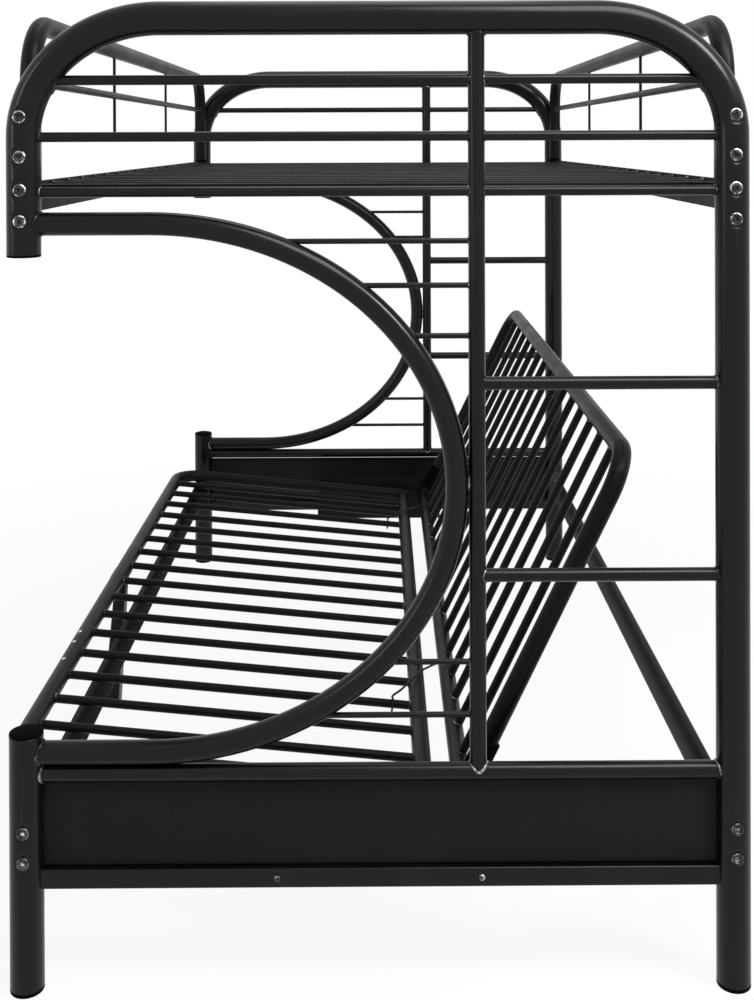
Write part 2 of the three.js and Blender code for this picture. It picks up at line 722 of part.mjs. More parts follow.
// Slats across the upper deck: channels, open below, welded to a flat strip along each side.
function deckSlats() {
  const low = deckRailTopZ + TOUCH_GAP;
  const reach = RAIL_FACE_X - SLAT_SIDE_ROOM;
  const runY = stringerY - SLAT_END_ROOM;
  const pitch = (2 * runY - SLAT_WIDTH) / (SLAT_COUNT - 1);
  const strips = [-1, 1].map((side) => {
    const outer = side * reach;
    const inner = side * (reach - SLAT_STRIP_WIDTH);
    const [x0, x1] = [Math.min(outer, inner), Math.max(outer, inner)];
    return box(x0, x1, -runY, runY, low, low + SLAT_STRIP_THICK);
  });
  const slats = [];
  const channels = [];
  const clear = reach - SLAT_STRIP_WIDTH;
  const half = SLAT_WIDTH / 2;
  const inner = half - SLAT_SHEET;
  const top = low + SLAT_THICK;
  for (let i = 0; i < SLAT_COUNT; i += 1) {
    const y = (i - (SLAT_COUNT - 1) / 2) * pitch;
    slats.push(box(-reach, reach, y - half, y + half, low, top));
    channels.push(box(-clear, clear, y - inner, y + inner, low - CUT_OVERRUN, top - SLAT_SHEET));
  }
  return cut(join([...strips, ...slats]), channels);
}

// Futon decks, in their own frames: x runs along the deck, z is square to it.

function futonFramePath(endX, closedX) {
  const towards = Math.sign(closedX - endX);
  const bend = FUTON_BEND * towards;
  const u = new THREE.Vector3(bend, 0, 0);
  const v = new THREE.Vector3(0, FUTON_BEND, 0);
  const low = new THREE.Vector3(closedX - bend, -futonY + FUTON_BEND, 0);
  const high = new THREE.Vector3(closedX - bend, futonY - FUTON_BEND, 0);
  return [
    station(endX, -futonY, 0, towards, 0, 0),
    ...arcStations(low, u, v, -Math.PI / 2, 0, BEND_STEPS),
    ...arcStations(high, u, v, 0, Math.PI / 2, BEND_STEPS),
    station(endX, futonY, 0, -towards, 0, 0),
  ];
}

// Slats welded into a straight rail at railX, reaching to the bent frame's rail at x = frameX.
function slatComb(framePath, railX, frameX, pitch, count) {
  const frame = clearanceOf(framePath, FUTON_TUBE_DIA, TUBE_SIDES);
  const rail = {
    path: straight(new THREE.Vector3(railX, -futonY, 0), new THREE.Vector3(railX, futonY, 0)),
    dia: FUTON_TUBE_DIA,
    wall: FUTON_TUBE_WALL,
    sides: TUBE_SIDES,
  };
  const slats = [];
  for (let i = 1; i <= count; i += 1) {
    const y = -futonY + pitch * i;
    slats.push({
      path: straight(new THREE.Vector3(frameX, y, 0), new THREE.Vector3(railX, y, 0)),
      dia: FUTON_SLAT_DIA,
      wall: FUTON_SLAT_WALL,
      sides: ROD_SIDES,
      endOpen: false,
    });
  }
  return weld([rail, ...slats], [frame]);
}

// Circles of one radius, joined by straight edges into one convex outline of (z, x) points.
function roundedPlate(centres, radius) {
  const shape = new THREE.Shape();
  const count = centres.length;
  centres.forEach(([a, b], i) => {
    const [pa, pb] = centres[(i + count - 1) % count];
    const [na, nb] = centres[(i + 1) % count];
    const start = Math.atan2(b - pb, a - pa) - Math.PI / 2;
    const end = Math.atan2(nb - b, na - a) - Math.PI / 2;
    shape.absarc(a, b, radius, start, end);
  });
  return shape;
}

// Hinge plate on the outside of the seat's end tube, with a welded stud that runs in the slot.
function hingePlate(side) {
  const centres = [
    [0, HINGE_DISTANCE - HINGE_PLATE_REACH],
    [-STUD_DROP, HINGE_DISTANCE - STUD_BEFORE_HINGE],
    [0, HINGE_DISTANCE],
  ].reverse();
  const outline = roundedPlate(centres, HINGE_PLATE_MARGIN);
  const span = [side * plateInnerY, side * plateOuterY].sort((a, b) => a - b);
  const plate = prismY(outline, span[0], span[1]);
  const studX = HINGE_DISTANCE - STUD_BEFORE_HINGE;
  const camOuterY = camInnerY + BRACKET_SHEET;
  const tip = camOuterY + TOUCH_GAP + PIN_HEAD_THICK;
  const shank = pinY(
    studX, -STUD_DROP, side * plateInnerY, side * tip, STUD_DIA / 2, RAIL_SIDES,
  );
  const head = pinY(
    studX, -STUD_DROP, side * (camOuterY + TOUCH_GAP), side * tip, PIN_HEAD_DIA / 2, RAIL_SIDES,
  );
  const hole = pinY(
    HINGE_DISTANCE, 0, side * (plateInnerY - CUT_OVERRUN), side * (plateOuterY + CUT_OVERRUN),
    HINGE_PIN_DIA / 2 + TOUCH_GAP, RAIL_SIDES,
  );
  return cut(join([plate, shank, head]), [hole]);
}

// Hinge pin: a head outside the plate and a shank through the back's end tube.
function hingePin(side) {
  const headFrom = plateOuterY + TOUCH_GAP;
  const head = pinY(
    HINGE_DISTANCE, 0, side * headFrom, side * (headFrom + PIN_HEAD_THICK), PIN_HEAD_DIA / 2,
    RAIL_SIDES,
  );
  const shank = pinY(
    HINGE_DISTANCE, 0, side * (headFrom - PIN_LENGTH), side * (headFrom + PIN_HEAD_THICK),
    HINGE_PIN_DIA / 2, RAIL_SIDES,
  );
  return join([head, shank]);
}

function backFrame(path) {
  const reach = futonRadius + CUT_OVERRUN;
  const holes = [-1, 1].map((side) => {
    const at = side * futonY;
    return pinY(0, 0, at - reach, at + reach, HINGE_PIN_DIA / 2 + TOUCH_GAP, RAIL_SIDES);
  });
  const tube = { path, dia: FUTON_TUBE_DIA, wall: FUTON_TUBE_WALL, sides: TUBE_SIDES };
  return weld([tube], holes);
}

// Plastic sleeve low on the back's end tube.
function backShoe(side) {
  const bore = futonRadius + TOUCH_GAP * 2;
  const outer = bore + BACK_SHOE_WALL;
  const path = straight(
    new THREE.Vector3(BACK_SHOE_START, side * futonY, 0),
    new THREE.Vector3(BACK_SHOE_START + BACK_SHOE_LENGTH, side * futonY, 0),
  );
  return sweep(path, roundOutline(outer, TUBE_SIDES), roundOutline(bore, TUBE_SIDES));
}

// Leg under the seat's front rail: a tapered channel with a saddle that the rail turns in.
function supportLeg() {
  const railClear = (futonRadius + TOUCH_GAP) / Math.cos(Math.PI / TUBE_SIDES);
  const saddleRadius = railClear + SADDLE_SHEET;
  const topHalf = SUPPORT_TOP_WIDTH / 2;
  const bottomHalf = SUPPORT_BOTTOM_WIDTH / 2;
  const outline = (inset) => points2([
    [0, SEAT_FRONT_X - SUPPORT_FORWARD - bottomHalf + inset],
    [0, SEAT_FRONT_X - SUPPORT_FORWARD + bottomHalf - inset],
    [SEAT_FRONT_Z, SEAT_FRONT_X + topHalf - inset],
    [SEAT_FRONT_Z, SEAT_FRONT_X - topHalf + inset],
  ]);
  const half = SUPPORT_DEPTH / 2;
  const body = prismY(outline(0), -half, half);
  const hollow = prismY(outline(SUPPORT_SHEET), -half + SUPPORT_SHEET, half + CUT_OVERRUN);
  const saddleHalf = SADDLE_WIDTH / 2;
  const saddle = pinY(
    SEAT_FRONT_X, SEAT_FRONT_Z, -saddleHalf, saddleHalf, saddleRadius, TUBE_SIDES,
  );
  const above = box(
    SEAT_FRONT_X - 2 * saddleRadius, SEAT_FRONT_X + 2 * saddleRadius,
    -SADDLE_WIDTH, SADDLE_WIDTH, SEAT_FRONT_Z, SEAT_FRONT_Z + 2 * saddleRadius,
  );
  const rail = pinY(
    SEAT_FRONT_X, SEAT_FRONT_Z, -SADDLE_WIDTH, SADDLE_WIDTH, railClear, TUBE_SIDES,
  );
  return cut(join([cut(body, [hollow]), saddle]), [above, rail]);
}

// Wire hook: round the hinge rail, over the seat's rear rail and down behind a slat.
function stopHook({ start, slat }) {
  const wire = HOOK_WIRE_DIA / 2;
  const round = futonRadius + HOOK_CLEARANCE + wire;
  const startY = start * backPitch;
  const slatY = slat * seatPitch;
  const slatRound = FUTON_SLAT_DIA / 2 + HOOK_CLEARANCE + wire;
  const hookX = seatRearRail - HOOK_BEFORE_RAIL;
  const points = [
    [HINGE_DISTANCE + round * Math.SQRT1_2, startY, -round * Math.SQRT1_2],
    [HINGE_DISTANCE + round, startY, 0],
    [HINGE_DISTANCE + round * Math.SQRT1_2, startY, round * Math.SQRT1_2],
    [HINGE_DISTANCE, startY, round],
    [seatRearRail + futonRadius, startY + (slatY - startY) / 3, round + wire],
    [seatRearRail, (startY + slatY) / 2, round + wire],
    [hookX + futonRadius, slatY + 2 * slatRound, round],
    [hookX, slatY + slatRound / 2, slatRound + wire],
    [hookX, slatY - slatRound / 2, slatRound],
    [hookX, slatY - slatRound - wire, 0],
    [hookX, slatY - slatRound / 2, -slatRound],
  ];
  const curve = new THREE.CatmullRomCurve3(points.map((p) => new THREE.Vector3(...p)));
  const shape = new THREE.Shape(roundOutline(wire, WIRE_SIDES));
  const steps = points.length * 2;
  return new THREE.ExtrudeGeometry(shape, { steps, bevelEnabled: false, extrudePath: curve });
}

// Assembly.

const ENDS = [
  { name: 'near', side: -1, y: -postY, inward: 1 },
  { name: 'far', side: 1, y: postY, inward: -1 },
];
const SIDES = [
  { name: 'front', side: -1 },
  { name: 'rear', side: 1 },
];

ENDS.forEach(addEndFrame);

for (const { name, side } of SIDES) {
  const frame = openTube(guardPath(), GUARD_DIA, GUARD_WALL, TUBE_SIDES);
  const placed = [
    addMesh(bed, `${name}_guard_frame`, frame, POWDER_COAT),
    addMesh(bed, `${name}_guard_rails`, guardRails(), POWDER_COAT),
  ];
  placed.forEach((mesh) => mesh.position.setX(side * postX));
  addMesh(bed, `${name}_deck_rail`, deckRail(side), POWDER_COAT);
  addMesh(bed, `${name}_base_rail`, baseRail(side), POWDER_COAT);
}
addMesh(bed, 'deck_slats', deckSlats(), POWDER_COAT);
addMesh(bed, 'support_leg', supportLeg(), BLACK_STEEL);

const seat = new THREE.Group();
seat.position.set(SEAT_FRONT_X, 0, SEAT_FRONT_Z);
seat.rotation.y = seatTilt;
bed.add(seat);
const seatPath = futonFramePath(seatRearRail + SEAT_TUBE_END, 0);
const seatTube = openTube(seatPath, FUTON_TUBE_DIA, FUTON_TUBE_WALL, TUBE_SIDES);
addMesh(seat, 'seat_frame', seatTube, POWDER_COAT);
const seatComb = slatComb(seatPath, seatRearRail, 0, seatPitch, SEAT_SLAT_COUNT);
addMesh(seat, 'seat_slats', seatComb, POWDER_COAT);

const back = new THREE.Group();
back.position.set(HINGE_DISTANCE, 0, 0);
back.rotation.y = -(seatTilt + backAngle);
seat.add(back);
const backPath = futonFramePath(-BACK_TUBE_TAIL, BACK_HEIGHT);
addMesh(back, 'back_frame', backFrame(backPath), POWDER_COAT);
const backComb = slatComb(backPath, 0, BACK_HEIGHT, backPitch, BACK_SLAT_COUNT);
addMesh(back, 'back_slats', backComb, POWDER_COAT);

for (const { name, side } of ENDS) {
  addMesh(seat, `${name}_hinge_plate`, hingePlate(side), BLACK_STEEL);
  addMesh(seat, `${name}_hinge_pin`, hingePin(side), BLACK_STEEL);
  addMesh(back, `${name}_back_sleeve`, backShoe(side), BLACK_PLASTIC);
}
for (const hook of HOOKS) {
  addMesh(seat, `${hook.name}_stop_hook`, stopHook(hook), BLACK_STEEL);
}

bed.position.set(-originX, 0, 0);
bed.updateMatrixWorld(true);

const part = new THREE.Group();
part.add(bed);

export default part;
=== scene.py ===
import json
import math

import bmesh
import bpy
from bpy.props import FloatProperty, FloatVectorProperty, IntProperty, PointerProperty
from mathutils import Matrix, Vector, noise
from mathutils.geometry import tessellate_polygon


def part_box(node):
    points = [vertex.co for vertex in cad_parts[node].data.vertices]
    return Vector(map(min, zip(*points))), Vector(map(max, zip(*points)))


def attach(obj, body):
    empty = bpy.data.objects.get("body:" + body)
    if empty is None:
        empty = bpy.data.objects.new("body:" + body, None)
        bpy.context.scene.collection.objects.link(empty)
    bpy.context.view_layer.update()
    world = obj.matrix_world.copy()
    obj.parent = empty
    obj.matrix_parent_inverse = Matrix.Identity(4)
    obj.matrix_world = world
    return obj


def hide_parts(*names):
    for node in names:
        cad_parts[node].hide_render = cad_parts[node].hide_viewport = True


bl_info = {
    "name": "Metal bunk bed over a fold-out futon",
    "version": (1, 0, 0),
    "blender": (4, 5, 0),
    "location": "3D View > Sidebar > Bunk bed",
    "description": "Tubes, sheet metal, welds, fasteners and finishes on the bed's fixed frame",
    "category": "Object",
}

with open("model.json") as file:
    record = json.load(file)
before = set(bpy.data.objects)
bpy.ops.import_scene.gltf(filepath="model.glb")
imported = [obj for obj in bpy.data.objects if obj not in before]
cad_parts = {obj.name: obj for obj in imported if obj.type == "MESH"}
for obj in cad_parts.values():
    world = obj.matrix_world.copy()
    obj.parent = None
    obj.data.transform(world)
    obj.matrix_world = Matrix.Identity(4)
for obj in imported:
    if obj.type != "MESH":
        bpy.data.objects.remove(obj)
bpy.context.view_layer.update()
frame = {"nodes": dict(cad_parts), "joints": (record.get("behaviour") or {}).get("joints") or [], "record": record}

X, Y, Z = Vector((1, 0, 0)), Vector((0, 1, 0)), Vector((0, 0, 1))
ENDS = {"near": -1, "far": 1}
SIDES = {"front": -1, "rear": 1}
JOINTS = {joint["name"]: joint for joint in frame["joints"]}
SEAT_FRONT = Vector(JOINTS["seat_tilt"]["pos_m"])
HINGE = Vector(JOINTS["back_fold"]["pos_m"])
TRAVEL = JOINTS["futon_slide"]["range_m"][1]
TILT = math.radians(JOINTS["seat_tilt"]["range_deg"][1])
BACK_TURN = math.radians(JOINTS["back_fold"]["range_deg"][1])


# Sizes that a user would change.

def length(name, description, default):
    return FloatProperty(
        name=name, description=description, default=default, unit="LENGTH", precision=4,
    )


def color(name, description, default):
    return FloatVectorProperty(
        name=name, description=description, default=default, subtype="COLOR",
        size=3, min=0, max=1,
    )


class BunkTubeSizes(bpy.types.PropertyGroup):
    corner_run: length("Corner run", "How far the hoop's corner reaches inwards", 0.204)
    corner_rise: length("Corner rise", "How far the hoop's corner reaches down", 0.177)
    bow_straight: length("Bow straight", "Straight end of the bow, from the leg", 0.1871)
    guard_bend: length("Guard bend", "Bend radius of the side guards", 0.090)
    futon_bend: length("Futon bend", "Bend radius of the futon's frames", 0.070)
    wall: length("Tube wall", "Wall that shows at an open tube end", 0.0013)
    rod: length("Tie rod", "Diameter of the short rods beside the bow", 0.0085)
    seat_slats: IntProperty(name="Seat slats", description="Slats in the seat", default=16)
    back_slats: IntProperty(name="Back slats", description="Slats in the back", default=15)
    deck_slats: IntProperty(name="Deck slats", description="Slats of the upper deck", default=18)


class BunkSheetSizes(bpy.types.PropertyGroup):
    fold: length("Fold radius", "Outside radius of a fold in sheet metal", 0.0035)
    panel_sheet: length("Panel sheet", "Thickness of the end panels", 0.0012)
    angle_sheet: length("Angle sheet", "Thickness of the angle rails", 0.002)
    deck_flange: length("Deck flange", "Width of the upper rails' flange", 0.038)
    base_flange: length("Base flange", "Width of the lower rails' flange", 0.027)
    deck_web: length("Deck web", "Height of the upper rails' web", 0.034)
    base_web: length("Base web", "Height of the lower rails' web", 0.035)
    plate: length("End plate", "Thickness of the plates at the rails' ends", 0.004)
    plate_width: length("End plate width", "Width of the plates at the rails' ends", 0.028)
    deck_rise: length("Upper rise", "How far the upper end plates rise past the web", 0.016)
    base_rise: length("Lower rise", "How far the lower end plates rise past the web", 0.018)
    bracket_sheet: length("Bracket sheet", "Thickness of the slotted brackets", 0.003)
    slat_width: length("Slat width", "Width of an upper slat", 0.028)
    strip_width: length("Strip width", "Width of the strip under the slats' ends", 0.026)
    lip: length("Lip", "How far the strip's upturned lip stands over the slats", 0.0045)
    edge: length("Edge", "Rounding of a cut edge", 0.0005)


class BunkFastenerSizes(bpy.types.PropertyGroup):
    bolt_head: length("Bolt head", "Diameter of a socket bolt's head", 0.0195)
    bolt_rise: length("Bolt rise", "Height of a socket bolt's head", 0.0026)
    screw_head: length("Screw head", "Diameter of a screw's head in the bars", 0.010)
    rivet_head: length("Rivet head", "Diameter of a rivet's head on the futon", 0.0075)
    tube_weld: length("Tube weld", "Radius of a bead round a large tube", 0.0024)
    slat_weld: length("Slat weld", "Radius of a bead round a slat", 0.0016)


class BunkFinishes(bpy.types.PropertyGroup):
    coat: color("Powder coat", "Colour of the coated tubes", (0.0027, 0.0024, 0.0021))
    coat_worn: color(
        "Worn coat", "Colour where hands have rubbed the coat", (0.0088, 0.0083, 0.0078),
    )
    steel: color("Pressed steel", "Colour of the fold mechanism", (0.0040, 0.0040, 0.0040))
    plastic: color("Plastic", "Colour of plugs, feet and sleeves", (0.0022, 0.0022, 0.0022))
    bolt: color("Bolt", "Colour of the blackened bolts", (0.020, 0.019, 0.018))
    bright: color("Bright steel", "Colour of plated rivets and nuts", (0.50, 0.49, 0.47))
    floor: color("Floor", "Colour of the floor", (0.92, 0.92, 0.92))


def sizes(group):
    """One of the scene's groups of sizes or colours."""
    return getattr(bpy.context.scene, group)


def finish(name):
    return bpy.data.materials[f"bunk_{name}"]


# Lines that the tubes follow.

def arc(centre, u, v, start, end, steps):
    """Points on centre + u cos(angle) + v sin(angle), with the angles in degrees."""
    points = []
    for i in range(steps + 1):
        angle = math.radians(start + (end - start) * i / steps)
        points.append(centre + u * math.cos(angle) + v * math.sin(angle))
    return points


def directions(points, closed):
    """At each point the tangent and two directions square to it, turned as little as can be."""
    count = len(points)
    result = []
    side = None
    for i in range(count):
        before = points[i - 1] if closed or i else points[0]
        after = points[(i + 1) % count] if closed or i < count - 1 else points[-1]
        tangent = (after - before).normalized()
        side = tangent.orthogonal() if side is None else side - tangent * side.dot(tangent)
        side.normalize()
        result.append((tangent, side, tangent.cross(side)))
    return result


def even_runs(points, longest):
    """The same line with its long straight runs cut, so that its skin has no slivers."""
    result = [points[0]]
    for before, after in zip(points, points[1:]):
        count = max(1, math.ceil((after - before).length / longest))
        result += [before.lerp(after, i / count) for i in range(1, count + 1)]
    return result


# Skins.

def ring(bm, centre, side, up, radius, count):
    verts = []
    for i in range(count):
        angle = 2 * math.pi * i / count
        offset = side * (radius * math.cos(angle)) + up * (radius * math.sin(angle))
        verts.append(bm.verts.new(centre + offset))
    return verts


def bridge(bm, first, second):
    count = len(first)
    for i in range(count):
        j = (i + 1) % count
        bm.faces.new((first[i], first[j], second[j], second[i]))


def skin(bm, rings, capped=True):
    """The wall through a row of rings, with a flat cap at both ends unless it stays open."""
    for first, second in zip(rings, rings[1:]):
        bridge(bm, first, second)
    if capped:
        bm.faces.new(list(reversed(rings[0])))
        bm.faces.new(rings[-1])


def tube(bm, points, radius, count, wall=0, open_start=False, open_end=False):
    """A round tube. An open end has a softened rim and a bore that goes some way in."""
    depth = 1.6 * radius
    rim = min(wall / 2, 0.0005)
    frames = directions(points, False)
    stations = [(p, s, u, radius) for p, (_, s, u) in zip(points, frames)]
    for is_open, index, sign in ((open_start, 0, 1), (open_end, -1, -1)):
        if not is_open:
            continue
        tangent, s, u = frames[index]
        p = points[index]
        inner = radius - wall
        rows = [
            (p + tangent * (sign * depth), s, u, inner),
            (p + tangent * (sign * rim), s, u, inner),
            (p, s, u, inner + rim),
            (p, s, u, radius - rim),
            (p + tangent * (sign * rim), s, u, radius),
        ]
        if index == 0:
            stations = rows + stations[1:]
        else:
            stations = stations[:-1] + rows[::-1]
    skin(bm, [ring(bm, *station, count) for station in stations])


def straight_tube(bm, start, end, radius, count, **ends):
    tube(bm, [start, end], radius, count, **ends)


def open_ends():
    """What tube() needs for a tube that is open at both ends."""
    return {"wall": sizes("bunk_tubes").wall, "open_start": True, "open_end": True}


def lathe(bm, centre, axis, profile, count):
    """Turns (radius, height) points about an axis. Each end of the profile is closed flat."""
    side = axis.orthogonal().normalized()
    up = axis.cross(side)
    skin(bm, [ring(bm, centre + axis * h, side, up, r, count) for r, h in profile])


def flat_faces(bm, loops, place):
    """A flat face with holes: the first loop is the outline and the others are holes."""
    flat = [[Vector((a, b, 0)) for a, b in loop] for loop in loops]
    corners = [point for loop in flat for point in loop]
    verts = [bm.verts.new(place @ point) for point in corners]
    for triangle in tessellate_polygon(flat):
        bm.faces.new([verts[i] for i in triangle])
    return verts


def plate(bm, loops, low, high, place):
    """A flat plate with holes, between two heights above the place's own plane."""
    bottom = flat_faces(bm, loops, place @ Matrix.Translation(Z * low))
    top = flat_faces(bm, loops, place @ Matrix.Translation(Z * high))
    first = 0
    for loop in loops:
        count = len(loop)
        for i in range(count):
            a, b = first + i, first + (i + 1) % count
            bm.faces.new((bottom[a], bottom[b], top[b], top[a]))
        first += count


ALONG_X = Matrix(((0, 0, 1, 0), (1, 0, 0, 0), (0, 1, 0, 0), (0, 0, 0, 1)))
ALONG_Y = Matrix(((0, 1, 0, 0), (0, 0, 1, 0), (1, 0, 0, 0), (0, 0, 0, 1)))


def across_x(bm, section, low, high):
    """Pushes a section of (y, z) points along X."""
    plate(bm, [section], low, high, ALONG_X)


def across_y(bm, section, low, high):
    """Pushes a section of (z, x) points along Y."""
    plate(bm, [section], low, high, ALONG_Y)


def swing(start, end, share):
    """A 2-D vector part of the way round from start to end, the short way."""
    angle = math.atan2(start.cross(end), start.dot(end)) * share
    cos, sin = math.cos(angle), math.sin(angle)
    return Vector((start.x * cos - start.y * sin, start.x * sin + start.y * cos))


def rectangle(a0, a1, b0, b1):
    return [(a0, b0), (a1, b0), (a1, b1), (a0, b1)]


def rounded_loop(corners, radius, steps=5):
    """A closed outline of (a, b) corners, each one rounded off as far as its sides allow."""
    loop = []
    count = len(corners)
    for i in range(count):
        here = Vector(corners[i])
        before, after = Vector(corners[i - 1]) - here, Vector(corners[(i + 1) % count]) - here
        half = before.angle(after) / 2
        cut = min(radius / math.tan(half), before.length * 0.48, after.length * 0.48)
        size = cut * math.tan(half)
        middle = (before.normalized() + after.normalized()).normalized()
        centre = here + middle * (size / math.sin(half))
        start = here + before.normalized() * cut - centre
        end = here + after.normalized() * cut - centre
        for step in range(steps + 1):
            loop.append(tuple(centre + swing(start, end, step / steps)))
    return loop


FOLD_STEPS = 5


def folded_outline(line, sheet, fold, flip=False):
    """The section of a sheet that follows a line of (a, b) points, with round folds.

    The line is the sheet's outer face, and the sheet lies to the left of it, or to the
    right of it when it is flipped.
    """
    points = [Vector(p) for p in (line[::-1] if flip else line)]
    outer, inner = [], []
    for i, here in enumerate(points):
        if i in (0, len(points) - 1):
            other = points[1] if i == 0 else points[-2]
            along = (other - here) if i == 0 else (here - other)
            left = Vector((-along.y, along.x)).normalized()
            outer.append(tuple(here))
            inner.append(tuple(here + left * sheet))
            continue
        before = (here - points[i - 1]).normalized()
        after = (points[i + 1] - here).normalized()
        turn = before.cross(after)
        left_before = Vector((-before.y, before.x))
        left_after = Vector((-after.y, after.x))
        sign = 1 if turn > 0 else -1
        radius = fold if sign > 0 else max(fold - sheet, sheet * 0.3)
        reach = sign * radius / (1 + left_before.dot(left_after))
        centre = here + (left_before + left_after) * reach
        start, end = -left_before * sign, -left_after * sign
        for step in range(FOLD_STEPS + 1):
            ray = swing(start, end, step / FOLD_STEPS)
            outer.append(tuple(centre + ray * radius))
            inner.append(tuple(centre + ray * (radius - sign * sheet)))
    return outer + inner[::-1]


def soften(bm, width):
    """Rounds the sharp edges of a piece by a small width."""
    bmesh.ops.remove_doubles(bm, verts=bm.verts, dist=1e-6)
    bmesh.ops.recalc_face_normals(bm, faces=bm.faces)
    edges = [
        edge for edge in bm.edges
        if len(edge.link_faces) == 2 and edge.calc_face_angle() > math.radians(50)
    ]
    bmesh.ops.bevel(
        bm, geom=edges, offset=width, offset_type="OFFSET", segments=2, profile=0.6,
        affect="EDGES", clamp_overlap=True,
    )


# Pieces.

def add_object(name, data):
    made = bpy.data.objects.new(name, data)
    bpy.context.scene.collection.objects.link(made)
    return made


def add_piece(name, bm, *nodes, body="root", slot="powder_coat", look=None, crease=40):
    """Makes the piece's object, rides it on its body and hides the nodes it stands for.

    The look is its finish, which is its slot's own finish when none is given.
    """
    bmesh.ops.recalc_face_normals(bm, faces=bm.faces)
    mesh = bpy.data.meshes.new(name)
    bm.to_mesh(mesh)
    bm.free()
    mesh.shade_smooth()
    mesh.set_sharp_from_angle(angle=math.radians(crease))
    mesh.materials.append(finish(look or slot))
    piece = add_object(name, mesh)
    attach(piece, body)
    if nodes:
        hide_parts(*nodes)


def add_tube(name, points, radius, count, node, body="root", look=None, **ends):
    bm = bmesh.new()
    tube(bm, points, radius, count, **ends)
    add_piece(name, bm, node, body=body, look=look)


def middle_and_half(node, axis):
    """The middle of a node's box along one of the axes 0, 1 and 2, and half its size."""
    low, high = (corner[axis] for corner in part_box(node))
    return (low + high) / 2, (high - low) / 2


def level_tube(node):
    """The height and the radius of a level tube."""
    return middle_and_half(node, 2)


# Effects that several finishes use, each built once as a node group.

def add_group(name, outputs, **inputs):
    """A node group with a Vector input, number inputs and number outputs."""
    tree = bpy.data.node_groups.new(name, "ShaderNodeTree")
    tree.interface.new_socket("Vector", in_out="INPUT", socket_type="NodeSocketVector")
    for label, default in inputs.items():
        label = label.replace("_", " ")
        socket = tree.interface.new_socket(label, in_out="INPUT", socket_type="NodeSocketFloat")
        socket.default_value = default
    for label in outputs:
        tree.interface.new_socket(label, in_out="OUTPUT", socket_type="NodeSocketFloat")
    given = tree.nodes.new("NodeGroupInput").outputs
    return tree, given, tree.nodes.new("NodeGroupOutput").inputs


def feed(tree, socket, value):
    """Links a socket to another one, or sets its number."""
    if isinstance(value, bpy.types.NodeSocket):
        tree.links.new(value, socket)
    else:
        socket.default_value = value


def add_noise(tree, vector, scale, detail, roughness=0.5):
    texture = tree.nodes.new("ShaderNodeTexNoise")
    for label, value in (
        ("Detail", detail), ("Roughness", roughness), ("Vector", vector), ("Scale", scale),
    ):
        feed(tree, texture.inputs[label], value)
    return texture.outputs["Fac"]


def add_math(tree, operation, a, b):
    step = tree.nodes.new("ShaderNodeMath")
    step.operation = operation
    feed(tree, step.inputs[0], a)
    feed(tree, step.inputs[1], b)
    return step.outputs[0]


def add_range(tree, value, *limits):
    """Maps a value from one range to another: from low, from high, to low, to high."""
    step = tree.nodes.new("ShaderNodeMapRange")
    feed(tree, step.inputs["Value"], value)
    for label, limit in zip(("From Min", "From Max", "To Min", "To Max"), limits):
        feed(tree, step.inputs[label], limit)
    return step.outputs[0]


def build_orange_peel():
    """The shallow ripple and the fine grit of a baked coat, as a height and a roughness."""
    tree, given, result = add_group(
        "bunk_orange_peel", ["Height", "Roughness"], Ripple_Scale=420.0, Grit_Scale=2600.0,
        Grit=0.3, Smooth=0.30, Rough=0.44,
    )
    ripple = add_noise(tree, given["Vector"], given["Ripple Scale"], 2, 0.4)
    grit = add_noise(tree, given["Vector"], given["Grit Scale"], 1)
    grit_part = add_math(tree, "MULTIPLY", grit, given["Grit"])
    drift = add_noise(tree, given["Vector"], 9.0, 4, 0.6)
    rough = add_range(tree, drift, 0.3, 0.7, given["Smooth"], given["Rough"])
    grit_rough = add_range(tree, grit, 0.35, 0.65, -0.03, 0.03)
    feed(tree, result["Height"], add_math(tree, "ADD", ripple, grit_part))
    feed(tree, result["Roughness"], add_math(tree, "ADD", rough, grit_rough))


def build_rub_marks_and_glints():
    """Where hands, cartons and bedding have rubbed: a broad mask broken up by scratches. On the welds the same
    mask places painted glints.
    """
    tree, given, result = add_group("bunk_rub_marks_and_glints", ["Mask"], Patch_Scale=5.0, Amount=0.5)
    patch = add_noise(tree, given["Vector"], given["Patch Scale"], 5, 0.65)
    streak = add_noise(tree, given["Vector"], 160.0, 3, 0.7)
    spread = add_range(tree, patch, 0.5, 0.72, 0.0, 1.0)
    broken = add_range(tree, streak, 0.42, 0.68, 0.25, 1.0)
    mask = add_math(tree, "MULTIPLY", spread, broken)
    feed(tree, result["Mask"], add_math(tree, "MULTIPLY", mask, given["Amount"]))


def build_moulded_grain():
    """The fine, even grain that a spark-cut mould leaves on plastic."""
    tree, given, result = add_group(
        "bunk_moulded_grain", ["Height", "Roughness"], Cell_Scale=1500.0,
    )
    cells = tree.nodes.new("ShaderNodeTexVoronoi")
    feed(tree, cells.inputs["Vector"], given["Vector"])
    feed(tree, cells.inputs["Scale"], given["Cell Scale"])
    drift = add_noise(tree, given["Vector"], 30.0, 3)
    feed(tree, result["Height"], cells.outputs["Distance"])
    feed(tree, result["Roughness"], add_range(tree, drift, 0.3, 0.7, 0.62, 0.74))


# Finishes.

def place_group(tree, name, vector, **values):
    placed = tree.nodes.new("ShaderNodeGroup")
    placed.node_tree = bpy.data.node_groups[name]
    feed(tree, placed.inputs["Vector"], vector)
    for label, value in values.items():
        placed.inputs[label.replace("_", " ")].default_value = value
    return placed.outputs


